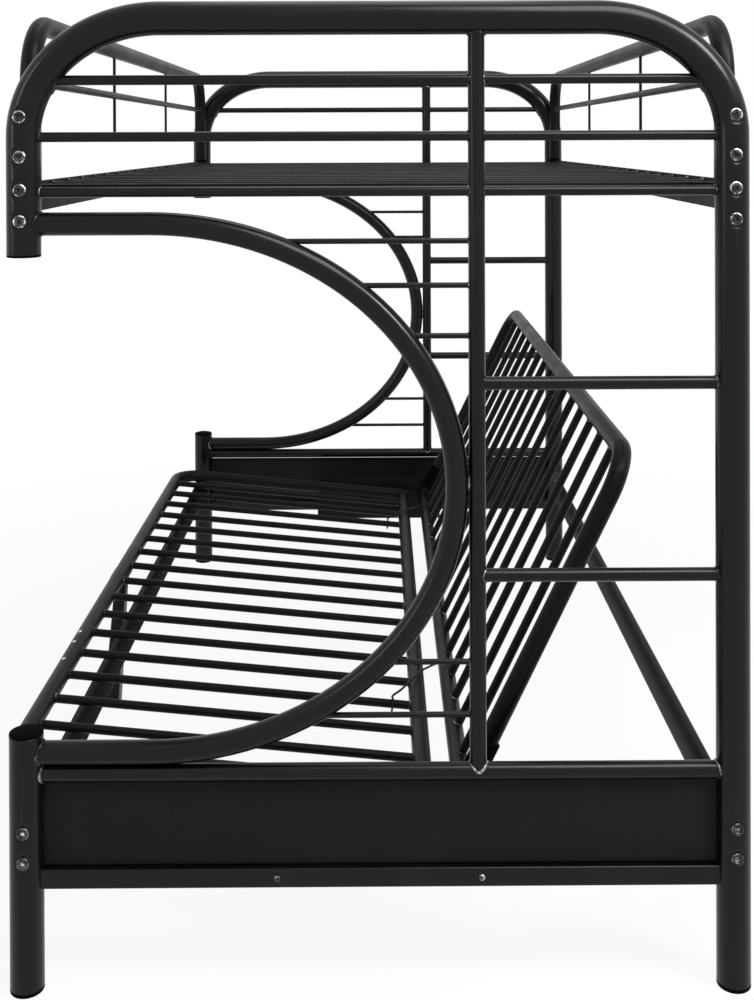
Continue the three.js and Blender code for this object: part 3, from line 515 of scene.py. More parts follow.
def start_material(name, base, metallic=0.0, specular=0.5):
    material = bpy.data.materials.new(f"bunk_{name}")
    material.use_nodes = True
    material.diffuse_color = (*base, 1)
    tree = material.node_tree
    shader = tree.nodes["Principled BSDF"]
    shader.inputs["Base Color"].default_value = (*base, 1)
    shader.inputs["Metallic"].default_value = metallic
    shader.inputs["Specular IOR Level"].default_value = specular
    return tree, shader, tree.nodes.new("ShaderNodeTexCoord").outputs["Object"]


def mix_colors(tree, shader, mask, first, second):
    """Blends the shader's colour from the first to the second by a mask."""
    blend = tree.nodes.new("ShaderNodeMix")
    blend.data_type = "RGBA"
    feed(tree, blend.inputs["Factor"], mask)
    for label, value in (("A", first), ("B", second)):
        socket = next(s for s in blend.inputs if s.name == label and s.type == "RGBA")
        socket.default_value = (*value, 1)
    shade = next(s for s in blend.outputs if s.type == "RGBA")
    feed(tree, shader.inputs["Base Color"], shade)


def add_surface(tree, shader, roughness, height, distance, strength=0.5):
    """Joins a roughness and a bump to the shader."""
    bump = tree.nodes.new("ShaderNodeBump")
    bump.inputs["Strength"].default_value = strength
    bump.inputs["Distance"].default_value = distance
    feed(tree, shader.inputs["Roughness"], roughness)
    feed(tree, bump.inputs["Height"], height)
    feed(tree, shader.inputs["Normal"], bump.outputs["Normal"])


def build_coat(name, base, worn, smooth, rough, specular, bump=0.00010, ripple=420.0, grit=0.3):
    """A baked coat: its colour rubs lighter in patches, over an orange-peel surface."""
    tree, shader, vector = start_material(name, base, specular=specular)
    peel = place_group(
        tree, "bunk_orange_peel", vector, Ripple_Scale=ripple, Grit=grit, Smooth=smooth,
        Rough=rough,
    )
    marks = place_group(tree, "bunk_rub_marks_and_glints", vector, Amount=0.8)
    mix_colors(tree, shader, marks["Mask"], base, worn)
    add_surface(tree, shader, peel["Roughness"], peel["Height"], bump)


def build_plastic(base):
    tree, shader, vector = start_material("black_plastic", base, specular=0.01)
    grain = place_group(tree, "bunk_moulded_grain", vector)
    marks = place_group(tree, "bunk_rub_marks_and_glints", vector, Patch_Scale=40.0, Amount=0.5)
    mix_colors(tree, shader, marks["Mask"], base, shades(2.4, base))
    add_surface(tree, shader, grain["Roughness"], grain["Height"], 0.00008, 0.4)


def build_metal(name, base, rim, metallic, rough_low, rough_high, wear_and_glints=0.15, patch=120.0):
    """Bare or blackened metal, which is brighter on the edges that the mesh marks as rims. The bright colour there
    and in the rubbed patches stands partly for bare steel and partly for a painted highlight; on the welds the
    patches are painted glints.
    """
    tree, shader, vector = start_material(name, base, metallic=metallic)
    marks = place_group(tree, "bunk_rub_marks_and_glints", vector, Patch_Scale=patch, Amount=wear_and_glints)
    edges = tree.nodes.new("ShaderNodeAttribute")
    edges.attribute_name = "rim"
    chipped = add_range(tree, add_noise(tree, vector, 150.0, 2), 0.44, 0.60, 0.10, 1.0)
    bare_and_glint = add_math(tree, "MULTIPLY", edges.outputs["Fac"], chipped)
    mix_colors(tree, shader, add_math(tree, "MAXIMUM", bare_and_glint, marks["Mask"]), base, rim)
    grain = add_noise(tree, vector, 900.0, 2)
    rough = add_range(tree, grain, 0.3, 0.7, rough_low, rough_high)
    add_surface(tree, shader, rough, grain, 0.00004, 0.4)


def shades(share, color_value):
    return tuple(share * part for part in color_value)


class BUNK_OT_finishes(bpy.types.Operator):
    """Build the effects and the finishes, and give the fixed frame's own nodes theirs"""

    bl_idname = "bunk.finishes"
    bl_label = "Finishes"

    def execute(self, context):
        finishes = sizes("bunk_finishes")
        build_orange_peel()
        build_rub_marks_and_glints()
        build_moulded_grain()
        coat, worn, steel = (tuple(c) for c in (finishes.coat, finishes.coat_worn, finishes.steel))
        # The rear base rail has the same black coat as the others; this lighter copy paints the light that falls
        # on its face.
        painted_light_coat, painted_light_worn = (16 * coat[0],) * 3, (5 * worn[0],) * 3
        steel_worn = shades(2.4, steel)
        # Colour, worn colour, lowest and highest roughness, and specular.
        build_coat("powder_coat", coat, worn, 0.19, 0.28, 0.21)
        build_coat("sheet_coat", shades(4.3, coat), shades(2.3, worn), 0.42, 0.56, 0.06)
        build_coat("painted_light_sheet_coat", painted_light_coat, painted_light_worn, 0.42, 0.56, 0.06)
        build_coat("guard_coat", shades(1.6, coat), worn, 0.34, 0.44, 0.09)
        build_coat("black_steel", steel, steel_worn, 0.34, 0.48, 0.12, 0.00008, 900, 0.6)
        build_plastic(tuple(finishes.plastic))
        rim, weld_glint = (0.75, 0.74, 0.72), (0.80, 0.79, 0.77)
        # Colour, rim colour, metallic, lowest and highest roughness, amount of wear and glints, and its patches.
        # On the weld beads the bright patches are painted glints.
        build_metal("weld_coat_with_glints", shades(2.7, coat), weld_glint, 0.5, 0.16, 0.26, 1.0, 38.0)
        # The bolts' bright rim colour is partly bare steel and partly a painted highlight.
        build_metal("bolt_black", tuple(finishes.bolt), rim, 0.9, 0.20, 0.34)
        build_metal("bright_steel", tuple(finishes.bright), rim, 1.0, 0.22, 0.38)
        slots = {row["node"]: row["material_slot"] for row in frame["record"]["subparts"]}
        for name, node in frame["nodes"].items():
            node.data.materials.clear()
            node.data.materials.append(finish(slots[name]))
        return {"FINISHED"}


# End frames: hoop, leg, bow, ladder and rails, all in one plane.

UPPER_BOLTS = (1.3080, 1.2483, 1.1992, 1.1529)
LOWER_BOLTS = (0.2450, 0.2003)
PLATE_BOLTS = UPPER_BOLTS[2:] + LOWER_BOLTS
PLUG_MIDDLE = 0.0004
STUB_PLUG_RISE = 0.0033


class EndFrame:
    """Where the pieces of one end frame are, read off the fixed frame's nodes."""

    def __init__(self, end):
        tubes = sizes("bunk_tubes")
        self.end = end
        low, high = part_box(f"{end}_hoop")
        self.y, self.post_radius = middle_and_half(f"{end}_hoop", 1)
        self.front_x = low.x + self.post_radius
        self.rear_x = high.x - self.post_radius
        self.centre_x = (self.front_x + self.rear_x) / 2
        self.top_z = high.z - self.post_radius
        self.post_bottom_z = low.z
        self.stub_bottom_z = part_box(f"{end}_stub_plug")[0].z + STUB_PLUG_RISE
        self.corner = (tubes.corner_run, tubes.corner_rise)
        self.leg_top_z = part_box(f"{end}_front_leg")[1].z
        low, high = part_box(f"{end}_bow")
        self.bow_radius = middle_and_half(f"{end}_bow", 1)[1]
        self.bow_low_z = low.z + self.bow_radius
        self.bow_high_z = high.z - self.bow_radius
        self.bow_centre = Vector(
            (self.front_x + tubes.bow_straight, self.y, (self.bow_low_z + self.bow_high_z) / 2)
        )
        self.bow_depth = high.x - self.bow_radius - self.bow_centre.x
        self.ladder_radius = middle_and_half(f"{end}_ladder_post", 1)[1]
        self.ladder_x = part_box(f"{end}_ladder_post")[1].x - self.ladder_radius
        self.bottom_z, self.bottom_radius = level_tube(f"{end}_bottom_rail")

    def hoop_half_width(self, z):
        """How far the hoop's centre line is from the middle of the frame at a height."""
        run, rise = self.corner
        lift = max(0, z - (self.top_z - rise)) / rise
        return (self.rear_x - self.front_x) / 2 - run + run * math.sqrt(1 - lift * lift)

    def bow_x(self, z):
        lift = (z - self.bow_centre.z) / ((self.bow_high_z - self.bow_low_z) / 2)
        return self.bow_centre.x + self.bow_depth * math.sqrt(1 - lift * lift)

    def at(self, x, z):
        return Vector((x, self.y, z))

    def hoop_line(self):
        run, rise = self.corner
        left = self.at(self.front_x + run, self.top_z - rise)
        right = self.at(self.rear_x - run, self.top_z - rise)
        line = [self.at(self.front_x, self.stub_bottom_z)]
        line += arc(left, X * run, Z * rise, 180, 90, 36)
        line += arc(right, X * run, Z * rise, 90, 0, 36)
        line.append(self.at(self.rear_x, self.post_bottom_z))
        return even_runs(line, 0.25)

    def bolt_seats(self, way, heights):
        """The middles of the flats that the bolt heads are drawn down onto."""
        sink = sizes("bunk_fasteners").bolt_rise + 0.0001
        y = self.y + way * (self.post_radius - sink)
        return [Vector((x, y, z)) for x in (self.front_x, self.rear_x) for z in heights]

    def bow_line(self):
        half = (self.bow_high_z - self.bow_low_z) / 2
        line = [self.at(self.front_x + self.post_radius * 0.6, self.bow_high_z)]
        line += arc(self.bow_centre, X * self.bow_depth, Z * half, 90, -90, 72)
        line.append(self.at(self.front_x + self.post_radius * 0.6, self.bow_low_z))
        return line


def fine_runs(points, heights, room=0.016, step=0.002):
    """The same line with close stations wherever it passes one of the heights."""
    reach = round(room / step)
    marks = [z + step * k for z in heights for k in range(-reach, reach + 1)]
    result = [points[0]]
    for before, after in zip(points, points[1:]):
        low, high = sorted((before.z, after.z))
        inside = sorted((z for z in marks if low < z < high), reverse=after.z < before.z)
        result += [before.lerp(after, (z - before.z) / (after.z - before.z)) for z in inside]
        result.append(after)
    return result


def press_seat(bm, centre, axis, flat=0.0102, blend=0.0050):
    """Flattens a tube's wall round a bolt's seat, with a soft edge to the flat."""
    for vert in bm.verts:
        offset = vert.co - centre
        along = offset.dot(axis)
        distance = (offset - axis * along).length
        if along <= 0 or distance > flat + blend:
            continue
        share = max(0, (distance - flat) / blend)
        vert.co -= axis * (along * (1 - share * share))


def add_bolted_post(name, points, place, way, heights, node):
    """A tube of an end frame with its wall pressed flat under the bolts."""
    bm = bmesh.new()
    tube(bm, fine_runs(points, heights), place.post_radius, 56, **open_ends())
    for seat in place.bolt_seats(way, heights):
        press_seat(bm, seat, Y * way)
    add_piece(name, bm, node)


def add_ladder(place):
    """The ladder's upright with the short rods that tie it to the bow, and its rungs."""
    end = place.end
    rod = sizes("bunk_tubes").rod / 2
    bm = bmesh.new()
    straight_tube(
        bm, place.at(place.ladder_x, place.bottom_z), place.at(place.ladder_x, place.top_z),
        place.ladder_radius, 32,
    )
    for z in rod_heights(place):
        straight_tube(bm, place.at(place.bow_x(z), z), place.at(place.ladder_x, z), rod, 16)
    add_piece(f"{end}_ladder_upright", bm, f"{end}_ladder_post")
    for level in ("upper", "lower"):
        node = f"{end}_ladder_rung_{level}"
        z, radius = level_tube(node)
        line = [place.at(place.ladder_x, z), place.at(place.rear_x, z)]
        add_tube(f"{end}_{level}_rung", line, radius, 28, node)


def rod_heights(place):
    """The tie rods' heights, found where the ladder's node has corners left of the upright."""
    edge = place.ladder_x - place.ladder_radius - 0.002
    node = frame["nodes"][f"{place.end}_ladder_post"]
    heights = sorted(v.co.z for v in node.data.vertices if v.co.x < edge)
    groups = [[heights[0]]]
    for z in heights[1:]:
        if z - groups[-1][-1] > 0.015:
            groups.append([])
        groups[-1].append(z)
    return [(group[0] + group[-1]) / 2 for group in groups]


END_RAILS = {
    "end_rail_upper": "upper_end_rail",
    "end_rail_lower": "lower_end_rail",
    "deck_cross_rail": "deck_cross_tube",
}


def add_end_rails(place):
    for node, name in END_RAILS.items():
        node = f"{place.end}_{node}"
        z, radius = level_tube(node)
        half = place.hoop_half_width(z)
        line = [place.at(place.centre_x - half, z), place.at(place.centre_x + half, z)]
        add_tube(f"{place.end}_{name}", line, radius, 24, node)
    line = [place.at(x, place.bottom_z) for x in (place.front_x, place.rear_x)]
    node = f"{place.end}_bottom_rail"
    add_tube(f"{place.end}_bottom_tube", line, place.bottom_radius, 32, node)


class BUNK_OT_end_frames(bpy.types.Operator):
    """Make the hoops, legs, bows, ladders and rails of both end frames"""

    bl_idname = "bunk.end_frames"
    bl_label = "End frames"

    def execute(self, context):
        for end, way in ENDS.items():
            place = EndFrame(end)
            hoop, leg = f"{end}_hoop", f"{end}_front_leg"
            bolts = UPPER_BOLTS + LOWER_BOLTS
            add_bolted_post(f"{hoop}_tube", place.hoop_line(), place, way, bolts, hoop)
            line = [place.at(place.front_x, corner.z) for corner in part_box(leg)]
            add_bolted_post(f"{end}_leg_tube", line, place, way, LOWER_BOLTS, leg)
            add_tube(f"{end}_bow_tube", place.bow_line(), place.bow_radius, 44, f"{end}_bow")
            add_ladder(place)
            add_end_rails(place)
        return {"FINISHED"}


def plug_profiles(radius, bore, cap_rim, floor_z):
    """The (radius, height) profiles of the domed cap, the stub's plug and the feet."""
    stem = [(bore, -0.024)]
    seat = [(bore, 0.0002), (radius - 0.0006, 0.0002), (radius, 0.0008), (radius, 0.0022)]
    dome = [(radius - 0.0004, 0.0029), (radius - 0.0013, 0.0033), (radius - 0.0022, 0.0035)]
    for step in range(1, 12):
        angle = math.pi / 2 * step / 12
        lift = (cap_rim - 0.0035) * math.sin(angle)
        dome.append(((radius - 0.0022) * math.cos(angle), 0.0035 + lift))
    flat = [
        (radius - 0.0012, STUB_PLUG_RISE), (radius - 0.006, STUB_PLUG_RISE),
        (radius - 0.008, 0.0024), (PLUG_MIDDLE, 0.0024),
    ]
    foot = [
        (bore, 0.0001), (radius - 0.0008, 0.0001), (radius, 0.0009), (radius, 0.0040),
        (radius - 0.0005, 0.0052), (radius - 0.0018, 0.0060), (radius - 0.0060, floor_z),
        (PLUG_MIDDLE, floor_z),
    ]
    return stem + seat + dome + [(PLUG_MIDDLE, cap_rim)], stem + seat + flat, stem + foot


class BUNK_OT_plugs(bpy.types.Operator):
    """Make the domed leg caps, the plugs in the front stubs and the feet"""

    bl_idname = "bunk.plugs"
    bl_label = "Plugs and feet"

    def execute(self, context):
        for end in ENDS:
            place = EndFrame(end)
            radius = place.post_radius
            bore = radius - sizes("bunk_tubes").wall - 0.0003
            cap_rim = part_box(f"{end}_leg_cap")[1].z - place.leg_top_z
            cap, flat, foot = plug_profiles(radius, bore, cap_rim, place.post_bottom_z)
            for node, name, x, z, way, profile in (
                ("leg_cap", "domed_cap", place.front_x, place.leg_top_z, 1, cap),
                ("stub_plug", "stub_end_plug", place.front_x, place.stub_bottom_z, -1, flat),
                ("leg_foot", "leg_foot_plug", place.front_x, place.post_bottom_z, -1, foot),
                ("post_foot", "post_foot_plug", place.rear_x, place.post_bottom_z, -1, foot),
            ):
                bm = bmesh.new()
                lathe(bm, place.at(x, z), Z * way, profile, 48)
                add_piece(f"{end}_{name}", bm, f"{end}_{node}", slot="black_plastic")
        return {"FINISHED"}


class BUNK_OT_base_panels(bpy.types.Operator):
    """Make the folded panel and the box bar under it at each end"""

    bl_idname = "bunk.base_panels"
    bl_label = "End panels"

    def execute(self, context):
        sheets = sizes("bunk_sheets")
        for end, way in ENDS.items():
            place = EndFrame(end)
            reach = place.post_radius * 0.7
            span = (place.front_x + reach, place.rear_x - reach)
            low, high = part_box(f"{end}_panel")
            outer, inner = (high.y, low.y) if way > 0 else (low.y, high.y)
            line = [(inner, high.z), (outer, high.z), (outer, low.z), (inner, low.z)]
            section = folded_outline(line, sheets.panel_sheet, sheets.fold, way > 0)
            bm = bmesh.new()
            across_x(bm, section, *span)
            soften(bm, sheets.edge * 0.6)
            add_piece(f"{end}_folded_panel", bm, f"{end}_panel", look="sheet_coat")
            low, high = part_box(f"{end}_panel_bar")
            corners = rectangle(low.y, high.y, low.z, high.z)
            bm = bmesh.new()
            across_x(bm, rounded_loop(corners, sheets.fold), *span)
            add_piece(f"{end}_box_bar", bm, f"{end}_panel_bar")
        return {"FINISHED"}


# Side guards, angle rails and the upper slats.

class GuardPlace:
    """Where one side guard's tubes are."""

    def __init__(self, side):
        low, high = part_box(f"{side}_guard_frame")
        self.x, self.radius = middle_and_half(f"{side}_guard_frame", 0)
        self.leg_y = high.y - self.radius
        self.top_z = high.z - self.radius
        self.bottom_z = low.z
        self.rail_radius = middle_and_half(f"{side}_guard_rails", 0)[1]
        self.low_rail_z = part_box(f"{side}_guard_rails")[0].z + self.rail_radius
        self.high_rail_z = level_tube("near_end_rail_upper")[0]
        self.rod_radius = 0.003
        self.rods = [-self.leg_y / 3, self.leg_y / 3]

    def at(self, y, z):
        return Vector((self.x, y, z))


class BUNK_OT_side_guards(bpy.types.Operator):
    """Make both side guards of the upper deck, with the caps in their feet"""

    bl_idname = "bunk.side_guards"
    bl_label = "Side guards"

    def execute(self, context):
        bend = sizes("bunk_tubes").guard_bend
        for side in SIDES:
            place = GuardPlace(side)
            shoulder = place.top_z - bend
            line = [place.at(-place.leg_y, place.bottom_z)]
            line += arc(place.at(-place.leg_y + bend, shoulder), Y * bend, Z * bend, 180, 90, 18)
            line += arc(place.at(place.leg_y - bend, shoulder), Y * bend, Z * bend, 90, 0, 18)
            line.append(place.at(place.leg_y, place.bottom_z))
            add_tube(
                f"{side}_guard_tube", even_runs(line, 0.3), place.radius, 40,
                f"{side}_guard_frame", look="guard_coat", **open_ends(),
            )
            bm = bmesh.new()
            for z in (place.low_rail_z, place.high_rail_z):
                ends = [place.at(way * place.leg_y, z) for way in (-1, 1)]
                straight_tube(bm, *ends, place.rail_radius, 24)
            for y in place.rods:
                ends = [place.at(y, place.low_rail_z), place.at(y, place.top_z)]
                straight_tube(bm, *ends, place.rod_radius, 14)
            add_piece(f"{side}_guard_bars", bm, f"{side}_guard_rails", look="guard_coat")
            bm = bmesh.new()
            radius = place.radius
            cap = [
                (radius - 0.002, -0.012), (radius - 0.002, 0.0001), (radius, 0.0001),
                (radius, 0.0022), (radius - 0.0010, 0.0033), (PLUG_MIDDLE, 0.0036),
            ]
            for way in (-1, 1):
                lathe(bm, place.at(way * place.leg_y, place.bottom_z), -Z, cap, 40)
            add_piece(f"{side}_guard_caps", bm, slot="black_plastic")
        return {"FINISHED"}


PLATE_CORNER = 0.004


class BUNK_OT_angle_rails(bpy.types.Operator):
    """Make the four angle rails along the bed, with their end plates"""

    bl_idname = "bunk.angle_rails"
    bl_label = "Angle rails"

    def execute(self, context):
        sheets = sizes("bunk_sheets")
        for side, way in SIDES.items():
            for level, flange in (("deck", sheets.deck_flange), ("base", sheets.base_flange)):
                node = f"{side}_{level}_rail"
                # The rear base rail takes the lighter copy of the coat, which is painted light.
                coat = "painted_light_sheet_coat" if node == "rear_base_rail" else "sheet_coat"
                low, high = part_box(node)
                face = high.x if way > 0 else low.x
                deck = level == "deck"
                top = high.z - (sheets.deck_rise if deck else sheets.base_rise)
                bottom = top - (sheets.deck_web if deck else sheets.base_web)
                fold_z, edge_z = (top, bottom) if deck else (bottom, top)
                line = [(edge_z, face), (fold_z, face), (fold_z, face - way * flange)]
                bm = bmesh.new()
                section = folded_outline(line, sheets.angle_sheet, sheets.fold, (way > 0) == deck)
                across_y(bm, section, low.y + sheets.plate * 0.5, high.y - sheets.plate * 0.5)
                inner = face - way * sheets.plate_width
                outline = rounded_loop(rectangle(low.z, high.z, face, inner), PLATE_CORNER)
                across_y(bm, outline, low.y, low.y + sheets.plate)
                across_y(bm, outline, high.y - sheets.plate, high.y)
                add_piece(f"{side}_{level}_angle", bm, node, look=coat)
        return {"FINISHED"}


SLAT_SHEET, SLAT_FOLD = 0.0012, 0.0028
STRIP_SHEET, STRIP_FOLD = 0.0015, 0.003
SLAT_WELD_HALF = 0.005


class BUNK_OT_deck_slats(bpy.types.Operator):
    """Make the upper deck's slats, which are channels on a strip along each side"""

    bl_idname = "bunk.deck_slats"
    bl_label = "Upper slats"

    def execute(self, context):
        sheets = sizes("bunk_sheets")
        count = sizes("bunk_tubes").deck_slats
        low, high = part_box("deck_slats")
        half = sheets.slat_width / 2
        pitch = (high.y - low.y - sheets.slat_width) / (count - 1)
        bm = bmesh.new()
        for i in range(count):
            y = low.y + half + i * pitch
            line = [(y + half, low.z), (y + half, high.z), (y - half, high.z), (y - half, low.z)]
            across_x(bm, folded_outline(line, SLAT_SHEET, SLAT_FOLD), low.x, high.x)
        for edge, way in ((low.x, 1), (high.x, -1)):
            inner = edge + way * sheets.strip_width
            line = [(high.z + sheets.lip, edge), (low.z, edge), (low.z, inner)]
            section = folded_outline(line, STRIP_SHEET, STRIP_FOLD, way < 0)
            across_y(bm, section, low.y, high.y)
        add_piece("upper_deck_slats", bm, "deck_slats", look="sheet_coat")
        beads = Beads(7)
        size = sizes("bunk_fasteners").slat_weld * 1.4
        for x, way in ((low.x, 1), (high.x, -1)):
            for i in range(count):
                y = low.y + half + i * pitch
                at = Vector((x + way * (STRIP_SHEET + 0.0006), y, high.z + 0.0006))
                beads.seam(at - Y * SLAT_WELD_HALF, at + Y * SLAT_WELD_HALF, size)
        beads.finish("upper_deck_slat_welds")
        return {"FINISHED"}


# The futon: seat and back in their own frames, x along the deck and z square to it.

SEAT_PLACE = Matrix.Translation(SEAT_FRONT) @ Matrix.Rotation(TILT, 4, "Y")
HINGE_DISTANCE = (HINGE - SEAT_FRONT).length
RAIL_BEFORE_HINGE = 0.0626
TUBE_PAST_RAIL = 0.018
SLAT_RADIUS = 0.0075
BACK_PLACE = (
    SEAT_PLACE @ Matrix.Translation(X * HINGE_DISTANCE) @ Matrix.Rotation(-BACK_TURN, 4, "Y")
)


class FutonPlace:
    """The futon tubes' sizes, read off the fixed frame's nodes."""

    def __init__(self):
        low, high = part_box("seat_frame")
        self.radius = SEAT_FRONT.x - low.x
        self.side_y = high.y - self.radius
        self.rear_rail = HINGE_DISTANCE - RAIL_BEFORE_HINGE
        self.seat_end = self.rear_rail + TUBE_PAST_RAIL
        tops = [BACK_PLACE.inverted() @ v.co for v in frame["nodes"]["back_frame"].data.vertices]
        self.back_height = max(point.x for point in tops) - self.radius
        self.back_tail = -min(point.x for point in tops)
        self.seat_pitch = 2 * self.side_y / (sizes("bunk_tubes").seat_slats + 1)
        self.back_pitch = 2 * self.side_y / (sizes("bunk_tubes").back_slats + 1)

    def decks(self):
        """Each deck's name, place, tube ends, closed rail, straight rail and slats."""
        tubes = sizes("bunk_tubes")
        return (
            ("seat", SEAT_PLACE, self.seat_end, 0, self.rear_rail, self.seat_pitch,
             tubes.seat_slats),
            ("back", BACK_PLACE, -self.back_tail, self.back_height, 0, self.back_pitch,
             tubes.back_slats),
        )

    def bent_line(self, end_x, closed_x):
        """Down one side, along the closed rail and back up the other side."""
        bend = math.copysign(sizes("bunk_tubes").futon_bend, closed_x - end_x)
        size = abs(bend)
        line = [Vector((end_x, -self.side_y, 0))]
        corner = Vector((closed_x - bend, -self.side_y + size, 0))
        line += arc(corner, X * bend, Y * size, -90, 0, 14)
        corner = Vector((closed_x - bend, self.side_y - size, 0))
        line += arc(corner, X * bend, Y * size, 0, 90, 14)
        line.append(Vector((end_x, self.side_y, 0)))
        return even_runs(line, 0.3)


def moved(points, place):
    return [place @ point for point in points]


def add_futon_deck(futon, name, place, end_x, closed_x, rail_x, pitch, count):
    """One deck of the futon: the bent tube, and the straight rail with its slats."""
    line = moved(futon.bent_line(end_x, closed_x), place)
    add_tube(
        f"{name}_bent_tube", line, futon.radius, 40, f"{name}_frame", name, "guard_coat",
        **open_ends(),
    )
    bm = bmesh.new()
    ends = [Vector((rail_x, way * futon.side_y, 0)) for way in (-1, 1)]
    straight_tube(bm, *moved(ends, place), futon.radius, 40, **open_ends())
    for i in range(1, count + 1):
        y = -futon.side_y + pitch * i
        ends = [Vector((rail_x, y, 0)), Vector((closed_x, y, 0))]
        straight_tube(bm, *moved(ends, place), SLAT_RADIUS, 22)
    add_piece(f"{name}_rail_and_slats", bm, f"{name}_slats", body=name, look="guard_coat")


class BUNK_OT_futon_decks(bpy.types.Operator):
    """Make the futon's seat and back: bent tubes, straight rails and round slats"""

    bl_idname = "bunk.futon_decks"
    bl_label = "Futon decks"

    def execute(self, context):
        futon = FutonPlace()
        for deck in futon.decks():
            add_futon_deck(futon, *deck)
        return {"FINISHED"}


# Fold mechanism: pressed steel on the panel bars and on the seat.

STUD_DROP = 0.045
STUD_ALONG = HINGE_DISTANCE - 0.044
SLOT_RADIUS = 0.006
PLATE_FRONT = HINGE_DISTANCE - 0.112
PLATE_MARGIN = 0.014
PLATE_SHEET = 0.004
PIN_RADIUS, PIN_HEAD_RADIUS, PIN_HEAD_RISE = 0.005, 0.009, 0.004
BRACKET_FOLD, BRACKET_CORNER = 0.006, 0.018
HOOK_BEFORE_RAIL = 0.047


def circle(centre, radius, count, start=0, end=360):
    points = []
    for i in range(count):
        angle = math.radians(start + (end - start) * i / (count if end == 360 else count - 1))
        points.append((centre[0] + radius * math.cos(angle), centre[1] + radius * math.sin(angle)))
    return points


def hull(points):
    """The convex outline round a set of (a, b) points."""
    points = sorted(set((round(a, 7), round(b, 7)) for a, b in points))
    halves = []
    for run in (points, points[::-1]):
        half = []
        for point in run:
            while len(half) > 1:
                first, last = Vector(half[-1]) - Vector(half[-2]), Vector(point) - Vector(half[-1])
                if first.cross(last) > 1e-12:
                    break
                half.pop()
            half.append(point)
        halves.append(half[:-1])
    return halves[0] + halves[1]


def rod_y(bm, x, z, y0, y1, radius, count, rounding=0.0006):
    """A short round bar along Y with softened ends, in the seat's own frame."""
    low, high = min(y0, y1), max(y0, y1)
    rounding = min(rounding, (high - low) / 3, radius / 3)
    profile = [
        (radius - rounding, 0), (radius, rounding), (radius, high - low - rounding),
        (radius - rounding, high - low),
    ]
    lathe(bm, SEAT_PLACE @ Vector((x, low, z)), SEAT_PLACE.to_3x3() @ Y, profile, count)


def add_slide_bracket(end, way):
    """The bent bracket on a panel bar, with the slot that guides the seat's stud."""
    sheets = sizes("bunk_sheets")
    sheet = sheets.bracket_sheet
    low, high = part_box(f"{end}_slide_bracket")
    cam, flange = (low.y, high.y) if way > 0 else (high.y, low.y)
    foot = low.z + 0.028
    shoulder = low.z + 0.012
    line = [(flange, foot), (flange, low.z), (cam, low.z), (cam, shoulder)]
    bm = bmesh.new()
    across_x(bm, folded_outline(line, sheet, BRACKET_FOLD, way > 0), low.x, high.x)
    slot = []
    stud = Vector((STUD_ALONG, 0, -STUD_DROP))
    front, rear = SEAT_FRONT - X * TRAVEL + stud, SEAT_PLACE @ stud
    tip = math.degrees(math.atan2(rear.x - front.x, rear.z - front.z))
    for centre, start in ((front, tip + 90), (rear, tip - 90)):
        slot += circle((centre.z, centre.x), SLOT_RADIUS, 14, start, start + 180)
    outline = rounded_loop(rectangle(shoulder, high.z, low.x, high.x), BRACKET_CORNER, 8)
    square = rectangle(shoulder - 0.001, shoulder + 0.02, low.x, high.x)
    outline = [(max(a, shoulder), b) for a, b in hull(outline + square)]
    plate(bm, [outline, slot], *sorted((cam, cam + way * sheet)), ALONG_Y)
    soften(bm, sheets.edge)
    add_piece(f"{end}_slotted_bracket", bm, f"{end}_slide_bracket", slot="black_steel")


def add_hinge_plate(end, way):
    """The plate on the seat's end tube, its stud in the slot, and the pin of the back."""
    inner, outer = reach_from_middle(f"{end}_hinge_plate")
    corners = [(0, PLATE_FRONT), (-STUD_DROP, STUD_ALONG), (0, HINGE_DISTANCE)]
    outline = hull([p for c in corners for p in circle(c, PLATE_MARGIN, 40)])
    bm = bmesh.new()
    span = sorted((way * inner, way * (inner + PLATE_SHEET)))
    plate(bm, [outline], *span, SEAT_PLACE @ ALONG_Y)
    soften(bm, sizes("bunk_sheets").edge)
    add_headed_pin(bm, way, STUD_ALONG, -STUD_DROP, inner, outer, 0.0012)
    add_piece(f"{end}_hinge_and_stud", bm, f"{end}_hinge_plate", body="seat", slot="black_steel")
    node = f"{end}_hinge_pin"
    bm = bmesh.new()
    add_headed_pin(bm, way, HINGE_DISTANCE, 0, *reach_from_middle(node), 0.0014)
    add_piece(f"{end}_back_pin", bm, node, body="seat", slot="black_steel", look="bolt_black")


def reach_from_middle(node):
    """How far a node's inner and outer faces are from the bed's middle, along the bed."""
    low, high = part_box(node)
    return sorted((abs(low.y), abs(high.y)))


def add_headed_pin(bm, way, x, z, inner, outer, rounding):
    """A pin across the seat's frame with a flat head on its outer end."""
    rod_y(bm, x, z, way * inner, way * outer, PIN_RADIUS, 24)
    neck = outer - PIN_HEAD_RISE
    rod_y(bm, x, z, way * neck, way * outer, PIN_HEAD_RADIUS, 32, rounding)


def add_back_sleeve(end, way, futon):
    """The plastic sleeve low on the back's end tube."""
    bore = futon.radius + 0.0001
    outer = futon.radius + 0.0042
    start, reach = 0.030, 0.065
    profile = [
        (bore, 0), (outer - 0.0012, 0), (outer, 0.0012), (outer, 0.007), (outer - 0.0006, 0.0076),
        (outer - 0.0006, 0.0092), (outer, 0.0098), (outer, reach - 0.0012),
        (outer - 0.0012, reach), (bore, reach),
    ]
    bm = bmesh.new()
    foot = BACK_PLACE @ Vector((start, way * futon.side_y, 0))
    lathe(bm, foot, BACK_PLACE.to_3x3() @ X, profile, 44)
    add_piece(f"{end}_sleeve_on_back", bm, f"{end}_back_sleeve", body="back",
              slot="black_plastic")


